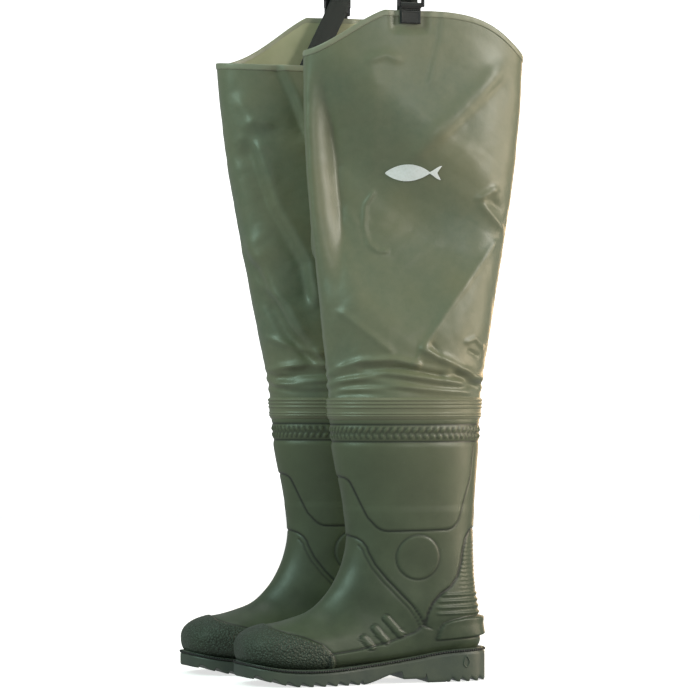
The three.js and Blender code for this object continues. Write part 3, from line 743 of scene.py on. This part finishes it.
def leg_skin(wader, height, angle, outset=0.0):
    """The leg: flattened ovals that follow the boot's top at the bottom and lie flatter and squarer
    at the rim, with gathers above the weld, the main folds, and soft wrinkles all over. It lies
    plain under the sewn tab."""
    middle, length, width = leg_size(height, wader.lean)
    flat = smooth(420, 700, height)
    power = 1 - 0.12 * flat
    side = powered(np.sin(angle), power)
    base = np.stack([middle - length * np.cos(angle), width * side, height + 0 * angle], -1)
    x, z = base[..., 0], height
    outer = smooth(0.05, 0.5, -np.sin(angle))
    inner = smooth(0.05, 0.5, np.sin(angle))
    lift = np.zeros(np.broadcast(x, z).shape)
    slide = np.clip((height - SHAFT_TOP) / (RIM_CORNER - SHAFT_TOP), 0, 1)
    from_left = (wader.lean - LEFT.lean) * slide
    from_right = (wader.lean - RIGHT.lean) * slide
    for shape in OUTER_FOLDS:
        lift += fold(x - from_left, z, *shape) * outer
    for shape in INNER_FOLDS:
        lift += fold(x - from_right, z, *shape) * inner
    quiet = smooth(BAND_TOP, 352, z)
    calm = quiet * (1 - 0.6 * smooth(650, 720, z))
    lift += calm * (0.8 * wrinkles(base, 11 + (wader.sign < 0), 80) + 0.3 * wrinkles(base, 31, 34))
    gather = smooth(BAND_TOP, 340, z) * smooth(376, 352, z)
    lift += gather * 0.9 * np.sin(z * 2 * math.pi / 13 + 2.2 * np.sin(angle * 3 + wader.sign) + x / 34)
    lift = lift + FULLNESS * smooth(BAND_TOP, 420, z)
    under_tab = smooth(27, 15, np.abs(x - wader.strap_x)) * smooth(wader.peak - 30, wader.peak - 18, z)
    lift = lift * (1 - under_tab * outer) - 0.8 * under_tab * outer + outset
    away = unit(np.stack([-np.cos(angle) * width, np.sin(angle) * length, 0 * angle], -1))
    return base + away * (lift * smooth(SHAFT_TOP, 334, z))[..., None]


def make_leg(wader):
    """The whole leg in one sheet, from inside the weld band to just under the rim's edge, its columns
    drawn together at the front and the back, where it turns sharply."""
    angle = around(208)
    angle = angle + 0.2 * np.sin(2 * angle)
    share, angle = np.meshgrid(np.linspace(0.998, 0, 234), angle, indexing="ij")
    height = LEG_FOOT + (rim_height(wader, angle) - LEG_FOOT) * share
    uv = np.stack([angle / (2 * math.pi) * 0.52, share * 0.46], -1)
    return grid_piece(wader, "leg", leg_skin(wader, height, angle), wrap_columns=True, uv=uv)


def make_hem(wader):
    """The hem: a flat tube that follows the rim, 7.2 mm high, puffed a little unevenly."""
    angle, turn = around(420), around(16)
    middle = rim_height(wader, angle) - 3.8
    puff = 0.25 * np.sin(angle * 61) + 0.2 * np.sin(angle * 23 + 1)
    out = powered(np.cos(turn), 0.5) * 0.95
    up = powered(np.sin(turn), 0.7) * 3.6
    grid = np.empty((len(turn), len(angle), 3))
    for i in range(len(turn)):
        edge = leg_skin(wader, middle + up[i], angle)
        outwards = leg_skin(wader, middle + up[i], angle, outset=1.0) - edge
        grid[i] = edge + outwards * (out[i] * (1 + 0.2 * puff))[:, None]
    return closed_piece(wader, "hem", grid)


def make_weld_band(wader):
    """The welded joint: a moulded ring round the boot's top with raised ribs."""
    columns, rows = 300, 64
    angle = around(columns)
    low, high = SHAFT_TOP - 16, SHAFT_TOP + 10
    z = np.linspace(high, low, rows)
    ribs = sum(1.1 * np.exp(-((z - at) / 1.0) ** 2) for at in (326.0, 322.0, 317.6, 310.4, 307.6))
    body = 1.5 * smooth(high, high - 2, z) * smooth(low, low + 2.5, z)
    outset = 0.3 + body + ribs
    z_all = np.concatenate([z, z[::-1]])
    out_all = np.concatenate([outset, np.full(rows, 0.1)])
    grid = np.empty((2 * rows, columns, 3))
    for i, (height, out) in enumerate(zip(z_all, out_all)):
        middle, length, width = leg_size(np.full(columns, max(height, SHAFT_TOP)), wader.lean)
        shrink = 0.35 * max(0.0, SHAFT_TOP - height) * 0.25
        grid[i, :, 0] = middle - (length + out - shrink) * np.cos(angle)
        grid[i, :, 1] = (width + out - shrink) * np.sin(angle)
        grid[i, :, 2] = height
    return closed_piece(wader, "weld", grid)


# ---- the mark ------------------------------------------------------------------------------------

def make_mark(wader):
    """A plain white fish: a leaf-shaped body that narrows and flares into a tail, laid on the outer
    side of the leg."""
    steps, across = 70, 14
    u = np.linspace(0, 1, steps)
    body = 9.5 * np.maximum(0, np.sin(math.pi * np.clip(u / 0.8, 0, 1))) ** 0.75
    tail = 8.0 * smooth(0.74, 1.0, u)
    half = np.maximum(np.maximum(body, tail), 0.12)
    v = np.linspace(-1, 1, across)
    notch = 5.0 * smooth(0.86, 1, u)[:, None] * (1 - np.abs(v)[None, :])
    x = -34 + 66 * u[:, None] - notch
    z = 589 + half[:, None] * v[None, :]
    middle, length, _ = leg_size(z, wader.lean)
    angle = -np.arccos(np.clip((middle - x) / length, -1, 1))
    grid = leg_skin(wader, z, angle, outset=1.05)
    return grid_piece(wader, "mark", grid)


# ---- webbing and buckle --------------------------------------------------------------------------

WEBBING_WIDTH = 25.0
WEBBING_THICKNESS = 1.6


def smooth_route(route, count):
    """The route resampled evenly by length, its corners eased by a moving average 2.2 mm long."""
    route = np.asarray(route, float)
    at = lengths(route)
    fine = np.linspace(0, at[-1], 12 * count)
    points = np.stack([np.interp(fine, at, route[:, i]) for i in range(3)], -1)
    window = max(3, int(len(fine) * 2.2 / at[-1]) | 1)
    kernel = np.ones(window) / window
    padded = np.pad(points, ((window // 2, window // 2), (0, 0)), mode="edge")
    eased = np.stack([np.convolve(padded[:, i], kernel, mode="valid") for i in range(3)], -1)
    eased[0], eased[-1] = points[0], points[-1]
    return eased[np.linspace(0, len(fine) - 1, count).astype(int)]


def make_webbing(wader, name, route, count=90):
    """A flat strap with rounded selvedges: a rounded strip section carried along a route, its width
    held along x. Its UV is in metres along and across."""
    line = smooth_route(route, count)
    tangent = unit(np.gradient(line, axis=0))
    wide = np.tile([1.0, 0.0, 0.0], (count, 1))
    wide = unit(wide - tangent * np.sum(wide * tangent, axis=1, keepdims=True))
    facing = np.cross(wide, tangent)
    turn = around(40)
    across = powered(np.cos(turn), 0.35) * WEBBING_WIDTH / 2
    thick = powered(np.sin(turn), 0.5) * WEBBING_THICKNESS / 2
    grid = line[:, None, :] + wide[:, None, :] * across[:, None] + facing[:, None, :] * thick[:, None]
    run = lengths(line)
    uv = np.stack(np.broadcast_arrays(run[:, None] * MM, across[None, :] * MM), -1)
    strap = grid_piece(wader, name, grid, wrap_columns=True, uv=uv)
    rework(strap.data, fill_ends, face_out)
    return strap


def strap_box(wader, piece):
    """Low and high corners of one of the solids, in millimetres about the wader."""
    low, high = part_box(wader.node(piece))
    y = sorted([(low.y / MM - wader.y) * wader.sign, (high.y / MM - wader.y) * wader.sign])
    return (low.x / MM - wader.x, y[0], low.z / MM), (high.x / MM - wader.x, y[1], high.z / MM)


def make_belt_loop(wader):
    """Round the plug's bar in an eye, up, over in a half turn, and down behind itself."""
    low, high = strap_box(wader, "belt_loop")
    plug = strap_box(wader, "buckle_plug")
    bar_y, bar_z = (plug[0][1] + plug[1][1]) / 2, plug[1][2] - 1.75
    inner_y = high[1] - WEBBING_THICKNESS / 2
    bend = (inner_y - bar_y) / 2
    top = high[2] - WEBBING_THICKNESS / 2 - bend
    x, eye = wader.strap_x, 2.95
    route = [(x, bar_y + 1.0, bar_z + 17)]
    route += [(x, bar_y - eye * math.sin(t), bar_z - eye * math.cos(t)) for t in np.linspace(-2.4, 2.6, 13)]
    route += [(x, bar_y - 0.9, bar_z + 9), (x, bar_y, bar_z + 22)]
    route += [(x, bar_y + bend - bend * math.cos(t), top + bend * math.sin(t))
              for t in np.linspace(0, math.pi, 11)]
    return make_webbing(wader, "loop_strap", route + [(x, inner_y, low[2])], 150)


def make_tail(wader):
    """Straight down from the slider, then leaning forward to where it is sewn inside the leg."""
    low, high = strap_box(wader, "strap_tail")
    x, y = wader.strap_x, low[1] + WEBBING_THICKNESS / 2
    bend = strap_box(wader, "strap_slider")[0][2] - 33.3
    bottom = low[2] + 5
    lean = (x - WEBBING_WIDTH / 2 - low[0]) / (bend - bottom)
    inner = high[1] - WEBBING_THICKNESS / 2 - 0.4
    route = [(x, y, high[2]), (x, y, bend + 10), (x - 1.5 * lean, y, bend)]
    route += [(x - lean * 12, y + 0.5, bend - 12)]
    route += [(x - lean * (bend - z), y + (inner - y) * (bend - z) / (bend - bottom), z)
              for z in np.linspace(bend - 24, bottom, 6)]
    return make_webbing(wader, "tail_strap", route, 80)


def softened(wader, node, name, width):
    """A moulded part: its solid with merged points and rounded edges."""
    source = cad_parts[wader.node(node)]
    mesh = source.data.copy()
    mesh.materials.clear()
    rework(mesh, lambda work: bmesh.ops.remove_doubles(work, verts=work.verts, dist=0.00002),
           lambda work: bmesh.ops.dissolve_limit(work, angle_limit=math.radians(1),
                                                 verts=work.verts, edges=work.edges))
    part = bpy.data.objects.new(wader.node(name), mesh)
    bpy.context.scene.collection.objects.link(part)
    bevel = part.modifiers.new("rounded edges", "BEVEL")
    bevel.width = width * MM
    bevel.segments = 3
    bevel.limit_method = "ANGLE"
    bevel.angle_limit = math.radians(35)
    mesh.polygons.foreach_set("use_smooth", np.ones(len(mesh.polygons), bool))
    harden = part.modifiers.new("flat faces", "WEIGHTED_NORMAL")
    harden.keep_sharp = True
    return part


def make_label(wader):
    """The label: a thin woven rectangle with a raised border, sewn over the tab."""
    low, high = strap_box(wader, "care_label")
    a, b = np.meshgrid(np.linspace(-1, 1, 40), np.linspace(-1, 1, 60), indexing="ij")
    half_x, half_z = (high[0] - low[0]) / 2, (high[2] - low[2]) / 2
    border = np.maximum(np.abs(b), np.abs(a))
    y = low[1] - 0.35 * smooth(0.86, 0.9, border) * smooth(1.0, 0.97, border)
    y = y + 0.25 * np.sin(b * 2.4 + 1) * (1 - a * a)
    grid = np.stack([wader.strap_x + half_x * b, y, (low[2] + high[2]) / 2 - half_z * a], -1)
    label = grid_piece(wader, "label", grid, uv=np.stack([half_x * b, half_z * a], -1) * MM)
    thick = label.modifiers.new("cloth", "SOLIDIFY")
    thick.thickness = 0.6 * MM
    thick.offset = 0
    return label


def make_stitches(wader):
    """Two rows of short rounded threads across the tab, over the label: each thread is a tube along x
    whose radius falls off with the fourth power towards its ends."""
    top = strap_box(wader, "strap_tab")[1][2]
    y = strap_box(wader, "care_label")[1][1] - 0.75
    spots = [(wader.strap_x + dx, z) for z in (top - 8.4, top - 10.2) for dx in np.linspace(-10.5, 10.5, 10)]
    along, turn = np.linspace(-1, 1, 5), around(6)
    radius = 0.45 * np.sqrt(np.maximum(0.05, 1 - along**4))
    thread = grid_faces(len(along), len(turn), wrap_columns=True)
    points, faces = [], []
    for number, (x, z) in enumerate(spots):
        px = x + 0.95 * along[:, None] + 0 * turn[None, :]
        py = y + radius[:, None] * np.cos(turn)[None, :]
        pz = z + radius[:, None] * np.sin(turn)[None, :]
        points.append(np.stack([px, py, pz], -1).reshape(-1, 3))
        faces.append(thread + number * len(along) * len(turn))
    cloud = wader.to_frame(np.concatenate(points))
    return turn_outwards(mesh_piece(wader.node("stitches"), cloud, np.concatenate(faces)))


# ---- materials -----------------------------------------------------------------------------------

def linear(hex_colour):
    """An sRGB hex colour as linear light."""
    parts = [int(hex_colour[i:i + 2], 16) / 255 for i in (1, 3, 5)]
    return tuple(c / 12.92 if c <= 0.04045 else ((c + 0.055) / 1.055) ** 2.4 for c in parts) + (1.0,)


def add(tree, kind, settings=None, links=None):
    """Adds a node, sets its properties and sockets, and links the given sockets into it."""
    node = tree.nodes.new(kind)
    for key, value in (settings or {}).items():
        if isinstance(key, str) and hasattr(node, key):
            setattr(node, key, value)
        else:
            node.inputs[key].default_value = value
    for key, source in (links or {}).items():
        tree.links.new(source, node.inputs[key])
    return node


def new_material(name, settings):
    """A material whose shader has its own sockets set, and the node tree to add to."""
    material = bpy.data.materials.new(name)
    material.use_nodes = True
    tree = material.node_tree
    for key, value in settings.items():
        tree.nodes["Principled BSDF"].inputs[key].default_value = value
    return material, tree


def finished(material, colour, normal, rough=None):
    """Links what has been worked out into the material's shader."""
    tree = material.node_tree
    for socket, source in (("Base Color", colour), ("Normal", normal), ("Roughness", rough)):
        if source is not None:
            tree.links.new(source, tree.nodes["Principled BSDF"].inputs[socket])
    return material


def layered(tree, ground, *layers):
    """A colour with others laid over it in turn: each layer is how much of it shows at each point,
    and its hex colour."""
    for share, colour in layers:
        settings = {"data_type": "RGBA", 7: linear(colour)}
        if isinstance(ground, str):
            node = add(tree, "ShaderNodeMix", {**settings, 6: linear(ground)}, {0: share})
        else:
            node = add(tree, "ShaderNodeMix", settings, {0: share, 6: ground})
        ground = node.outputs[2]
    return ground


def spots(tree, place, size_mm, detail, levels, amounts=(0.0, 1.0), roughness=0.5):
    """Soft spots about size_mm across: noise between two levels, spread over two amounts."""
    settings = {"Scale": 1 / (size_mm * MM), "Detail": detail, "Roughness": roughness}
    cloud = add(tree, "ShaderNodeTexNoise", settings, {"Vector": place}).outputs["Fac"]
    settings = {1: levels[0], 2: levels[1], 3: amounts[0], 4: amounts[1]}
    return add(tree, "ShaderNodeMapRange", settings, {0: cloud}).outputs[0]


def grain(tree, place, size_mm, detail, strength, depth_mm, roughness=0.5, under=None):
    """A bumped grain of spots about size_mm across, laid over another relief where one is given."""
    settings = {"Scale": 1 / (size_mm * MM), "Detail": detail, "Roughness": roughness}
    cloud = add(tree, "ShaderNodeTexNoise", settings, {"Vector": place}).outputs["Fac"]
    links = {"Height": cloud} if under is None else {"Height": cloud, "Normal": under}
    settings = {"Strength": strength, "Distance": depth_mm * MM}
    return add(tree, "ShaderNodeBump", settings, links).outputs["Normal"]


def two_tone(name, settings, tones, drift, skin, rough=None):
    """A surface whose two close tones drift into each other, with a fine grain. drift and rough are
    what spots() takes, and skin is what grain() takes."""
    material, tree = new_material(name, settings)
    place = add(tree, "ShaderNodeTexCoord").outputs["Object"]
    colour = layered(tree, tones[0], (spots(tree, place, *drift), tones[1]))
    worn = spots(tree, place, *rough) if rough else None
    return finished(material, colour, grain(tree, place, *skin), worn)


def plain_textile(name, first, second, grain_mm, roughness):
    """A felted or knitted cloth: matt, with loops or fibres that show as a fine grain."""
    settings = {"Roughness": roughness, "Sheen Weight": 0.3}
    drift = (grain_mm, 5.0, (0.35, 0.65), (0.0, 1.0), 0.65)
    return two_tone(name, settings, (first, second), drift, (grain_mm, 5.0, 0.6, 0.6, 0.65))


def coated_fabric(name, main, cool, pale, roughness):
    """Nylon taffeta coated with PVC on its outside: a close weave that only just shows, a smooth
    skin that gives broad soft highlights, and a colour that drifts between olive and grey green."""
    material, tree = new_material(name, {
        "IOR": 1.5, "Coat Weight": 0.25, "Coat Roughness": 0.32, "Sheen Weight": 0.08,
    })
    place = add(tree, "ShaderNodeTexCoord").outputs["Object"]
    broad = spots(tree, place, 110, 2.0, (0.38, 0.66))
    mottled = spots(tree, place, 9, 4.0, (0.3, 0.75), (0.0, 0.32), 0.62)
    colour = layered(tree, cool, (broad, main), (mottled, pale))
    worn = spots(tree, place, 26, 4.0, (0.3, 0.7), (roughness - 0.06, roughness + 0.08))
    # The real threads are about 0.3 mm apart; they are drawn at 1.1 mm so that they show. A wave
    # repeats 3.2 times in a unit of its scale.
    settings = {"Scale": 1 / (1.1 * MM * 3.2), "wave_type": "BANDS"}
    across = add(tree, "ShaderNodeTexWave", {**settings, "bands_direction": "Z"}, {"Vector": place})
    along = add(tree, "ShaderNodeTexWave", {**settings, "bands_direction": "X"}, {"Vector": place})
    weave = add(tree, "ShaderNodeMath", {"operation": "ADD"},
                {0: across.outputs["Fac"], 1: along.outputs["Fac"]})
    fine = add(tree, "ShaderNodeBump", {"Strength": 0.10, "Distance": 0.12 * MM},
               {"Height": weave.outputs[0]})
    crumple = grain(tree, place, 14, 5.0, 0.22, 1.1, 0.6, fine.outputs["Normal"])
    return finished(material, colour, crumple, worn)


def moulded_pvc(name, dark, light, pale, roughness, toe_cap=False):
    """Plasticised PVC from a satin mould: a low soft shine and faint flow marks, and painted light that
    makes it paler towards the top of the boot. With a toe cap it has painted shade in its grooves and
    a pebbled grain on the cap, with a painted highlight in each pebble."""
    material, tree = new_material(name, {"IOR": 1.52, "Coat Weight": 0.12, "Coat Roughness": 0.35})
    place = add(tree, "ShaderNodeTexCoord").outputs["Object"]
    height = add(tree, "ShaderNodeSeparateXYZ", {}, {0: place}).outputs["Z"]
    # Painted light: the colour turns paler from 80 mm up towards the boot's top, where more light falls.
    upper = add(tree, "ShaderNodeMapRange", {1: 0.08, 2: 0.31, 4: 0.62}, {0: height}).outputs[0]
    flow = spots(tree, place, 48, 4.0, (0.32, 0.68), roughness=0.6)
    scuff = spots(tree, place, 5, 6.0, (0.62, 0.82), (0.0, 0.35), 0.7)
    colour = layered(tree, dark, (flow, light), (upper, pale), (scuff, "#6a7263"))
    rough = spots(tree, place, 18, 5.0, (0.3, 0.7), (roughness - 0.05, roughness + 0.09))
    skin = grain(tree, place, 1.4, 3.0, 0.10, 0.25)
    if toe_cap:
        # The grooves and the gaps between the leaves are darkened to near black: painted shade in the
        # recesses.
        recess = add(tree, "ShaderNodeAttribute", {"attribute_name": "recess"}).outputs["Fac"]
        painted_groove_shade = add(tree, "ShaderNodeMapRange", {1: 0.05, 2: 0.8, 4: 0.85}, {0: recess}).outputs[0]
        cap = add(tree, "ShaderNodeAttribute", {"attribute_name": "toe_cap"}).outputs["Fac"]
        shade = add(tree, "ShaderNodeMapRange", {4: 0.6}, {0: cap}).outputs[0]
        # The real pebbles are about 1.5 mm across; they are drawn at 2.6 mm so that they show.
        pebble = add(tree, "ShaderNodeTexVoronoi", {"Scale": 1 / (2.6 * MM)}, {"Vector": place})
        pebble = pebble.outputs["Distance"]
        raised = add(tree, "ShaderNodeMath", {"operation": "MULTIPLY"}, {0: pebble, 1: cap})
        # Each pebble gets a lighter spot painted at its middle: a painted highlight.
        settings = {1: 0.10, 2: 0.45, 3: 0.75, 4: 0.0}
        painted_pebble_highlight = add(tree, "ShaderNodeMapRange", settings, {0: pebble}).outputs[0]
        painted_pebble_highlight = add(tree, "ShaderNodeMath", {"operation": "MULTIPLY"}, {0: painted_pebble_highlight, 1: cap}).outputs[0]
        skin = add(tree, "ShaderNodeBump", {"Strength": 1.0, "Distance": 1.6 * MM},
                   {"Height": raised.outputs[0], "Normal": skin}).outputs["Normal"]
        rough = add(tree, "ShaderNodeMath", {"operation": "MULTIPLY_ADD", 1: 0.16},
                    {0: cap, 2: rough}).outputs[0]
        colour = layered(tree, colour, (painted_groove_shade, "#121812"), (shade, "#263228"), (painted_pebble_highlight, "#55675a"))
    return finished(material, colour, skin, rough)


def woven_webbing():
    """Polypropylene webbing in a herringbone: matt black with a slight sheen on each thread. Its UV
    is in metres; the lanes are 3.1 mm wide and the ribs 1.7 mm apart."""
    material, tree = new_material("herringbone_polypropylene_webbing", {
        "Roughness": 0.7, "Sheen Weight": 0.25, "Sheen Roughness": 0.4,
    })
    uv = add(tree, "ShaderNodeUVMap").outputs["UV"]
    parts = add(tree, "ShaderNodeSeparateXYZ", {}, {0: uv})
    lanes = add(tree, "ShaderNodeMath", {"operation": "PINGPONG", 1: 3.1 * MM}, {0: parts.outputs["Y"]})
    slant = add(tree, "ShaderNodeMath", {"operation": "ADD"}, {0: parts.outputs["X"], 1: lanes.outputs[0]})
    turns = add(tree, "ShaderNodeMath", {"operation": "MULTIPLY", 1: 2 * math.pi / (1.7 * MM)},
                {0: slant.outputs[0]})
    wave = add(tree, "ShaderNodeMath", {"operation": "SINE"}, {0: turns.outputs[0]})
    rib = add(tree, "ShaderNodeMapRange", {1: -1}, {0: wave.outputs[0]}).outputs[0]
    relief = add(tree, "ShaderNodeBump", {"Strength": 0.8, "Distance": 0.5 * MM}, {"Height": rib})
    return finished(material, layered(tree, "#0f1111", (rib, "#3c403e")), relief.outputs["Normal"])


# ---- floor and wall ------------------------------------------------------------------------------

def make_stage():
    """A pale round floor with a white wall far behind it that the object neither reflects nor is
    lit by."""
    turn = around(96)
    rise = np.linspace(0, math.pi / 2, 16)
    profile = [(0.001, 0.0), (2.0, 0.0), (5.0, 0.0)]
    profile += [(5.0 + 1.5 * math.sin(t), 1.5 * (1 - math.cos(t))) for t in rise[1:]] + [(6.5, 9.0)]
    points = np.array([[r * math.cos(t), r * math.sin(t), z - 0.0005] for r, z in profile for t in turn])
    ring = grid_faces(len(profile), len(turn), wrap_columns=True)
    floor_count = 2 * len(turn)
    for name, faces, glow in (("floor", ring[:floor_count], 0.66), ("backdrop", ring[floor_count:], 1.1)):
        piece = mesh_piece(name, points, faces)
        paper = new_material(f"pale_paper_{name}", {
            "Roughness": 0.9, "Base Color": linear("#fbfbfa"), "Emission Color": linear("#ffffff"),
            "Emission Strength": glow,
        })[0]
        piece.data.materials.append(paper)
        piece.visible_diffuse = False
        piece.visible_glossy = False
    world = bpy.data.worlds.new("studio")
    world.use_nodes = True
    sky = world.node_tree.nodes["Background"]
    sky.inputs["Color"].default_value = linear("#f2f6f6")
    sky.inputs["Strength"].default_value = 0.36
    bpy.context.scene.world = world
    bpy.context.scene.view_settings.view_transform = "Standard"


# ---- the making ----------------------------------------------------------------------------------

def dress(piece, material, body, slot, *nodes):
    """Gives a piece its material, the body it rides on unless it is blended, and the nodes that it
    stands for. The slot is not used."""
    piece.data.materials.append(material)
    if body:
        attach(piece, body)
    if nodes:
        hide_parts(*nodes)


def make_wader(wader, looks):
    """Every piece of one wader, on its body."""
    name = wader.node
    thigh, buckle, clip = name("thigh"), name("buckle"), name("clip")

    def put(piece, look, body, slot, *nodes):
        dress(piece, looks[look], body, slot, *[name(node) for node in nodes])
        return piece

    put(make_boot(wader), "boot", "boots", "pvc", "boot_upper")
    put(make_lining(wader), "lining", "boots", "felt")
    put(make_outsole(wader), "sole", "boots", "sole", "outsole")
    put(make_welt(wader), "welt", "boots", "sole")
    put(make_heel_drop(wader), "sole", "boots", "sole")
    put(make_weld_band(wader), "band", "boots", "pvc", "weld_band")
    leg = put(make_leg(wader), "leg", None, "leg_fabric", "leg_lower", "leg_knee", "leg_upper")
    leg.data.materials.append(looks["inside"])
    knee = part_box(name("leg_knee"))
    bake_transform(leg)
    cloth = leg.modifiers.new("cloth", "SOLIDIFY")
    cloth.thickness = 0.8 * MM
    cloth.offset = -1
    cloth.material_offset = 1
    put(make_hem(wader), "hem", thigh, "hem_fabric", "top_hem")
    put(softened(wader, "strap_tab", "tab", 0.3), "webbing_solid", thigh, "webbing", "strap_tab")
    put(make_label(wader), "label", thigh, "label", "care_label")
    put(make_stitches(wader), "thread", thigh, "webbing")
    for node, part, rounding, body in (("buckle_socket", "socket", 0.9, buckle),
                                       ("strap_slider", "slider", 0.8, buckle),
                                       ("buckle_plug", "plug", 0.7, clip)):
        put(softened(wader, node, part, rounding), "buckle", body, "buckle", node)
    put(make_belt_loop(wader), "webbing", clip, "webbing", "belt_loop")
    tail = put(make_tail(wader), "webbing", None, "webbing", "strap_tail")
    slider_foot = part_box(name("strap_slider"))[0].z
    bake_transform(tail)
    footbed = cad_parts[name("footbed")]
    footbed.data.materials.clear()
    footbed.data.materials.append(looks["felt"])


make_camera()
make_lights()
make_stage()
LOOKS = {
    # The third colour of each moulded PVC is painted light, laid over it from 80 mm up towards the boot's
    # top.
    "boot": moulded_pvc("satin_moulded_pvc", "#37432f", "#4a563f", "#6c7156", 0.42, toe_cap=True),
    "band": moulded_pvc("welded_pvc_band", "#6f725a", "#828268", "#787a61", 0.38),
    "sole": moulded_pvc("moulded_pvc_outsole", "#3d4840", "#4f5849", "#4f5849", 0.46),
    "leg": coated_fabric("pvc_coated_nylon", "#74765a", "#66705a", "#83836a", 0.40),
    "hem": coated_fabric("folded_coated_nylon", "#8f8f76", "#808670", "#a3a28a", 0.42),
    # The fabric's inside is bare woven nylon, paler and duller than the coated side.
    "inside": two_tone("woven_nylon_inside", {"Roughness": 0.62, "IOR": 1.5}, ("#969a78", "#b0ae8e"),
                       (60, 3.0, (0.35, 0.7)), (12, 5.0, 0.25, 1.0)),
    "lining": plain_textile("knitted_nylon_lining", "#8a8a7a", "#a3a290", 1.6, 0.9),
    "felt": plain_textile("needled_felt", "#6e6b5d", "#8d8a78", 2.2, 0.95),
    "welt": moulded_pvc("corded_pvc_welt", "#0c100d", "#161b16", "#161b16", 0.5),
    "webbing": woven_webbing(),
    "webbing_solid": plain_textile("sewn_polypropylene_tab", "#0e0f0f", "#232625", 1.1, 0.75),
    "label": plain_textile("woven_satin_label", "#131414", "#202322", 0.9, 0.6),
    "thread": plain_textile("polyester_thread", "#2b2d2c", "#424544", 0.6, 0.6),
    # Black acetal from a polished mould is smooth and fairly glossy, with fine scratches.
    "buckle": two_tone("moulded_acetal", {"IOR": 1.48, "Coat Weight": 0.1}, ("#101214", "#1c1f21"),
                       (14, 3.0, (0.3, 0.7)), (0.8, 2.0, 0.06, 0.1),
                       (3, 5.0, (0.3, 0.7), (0.24, 0.38))),
    # White screen ink is flat and slightly chalky.
    "ink": two_tone("screen_printed_ink", {"Roughness": 0.55}, ("#f4f4f0", "#ffffff"),
                    (3, 5.0, (0.3, 0.75)), (1.2, 2.0, 0.15, 0.2)),
}
for each in PAIR:
    make_wader(each, LOOKS)
dress(make_mark(LEFT), LOOKS["ink"], "left_thigh", "leg_fabric")
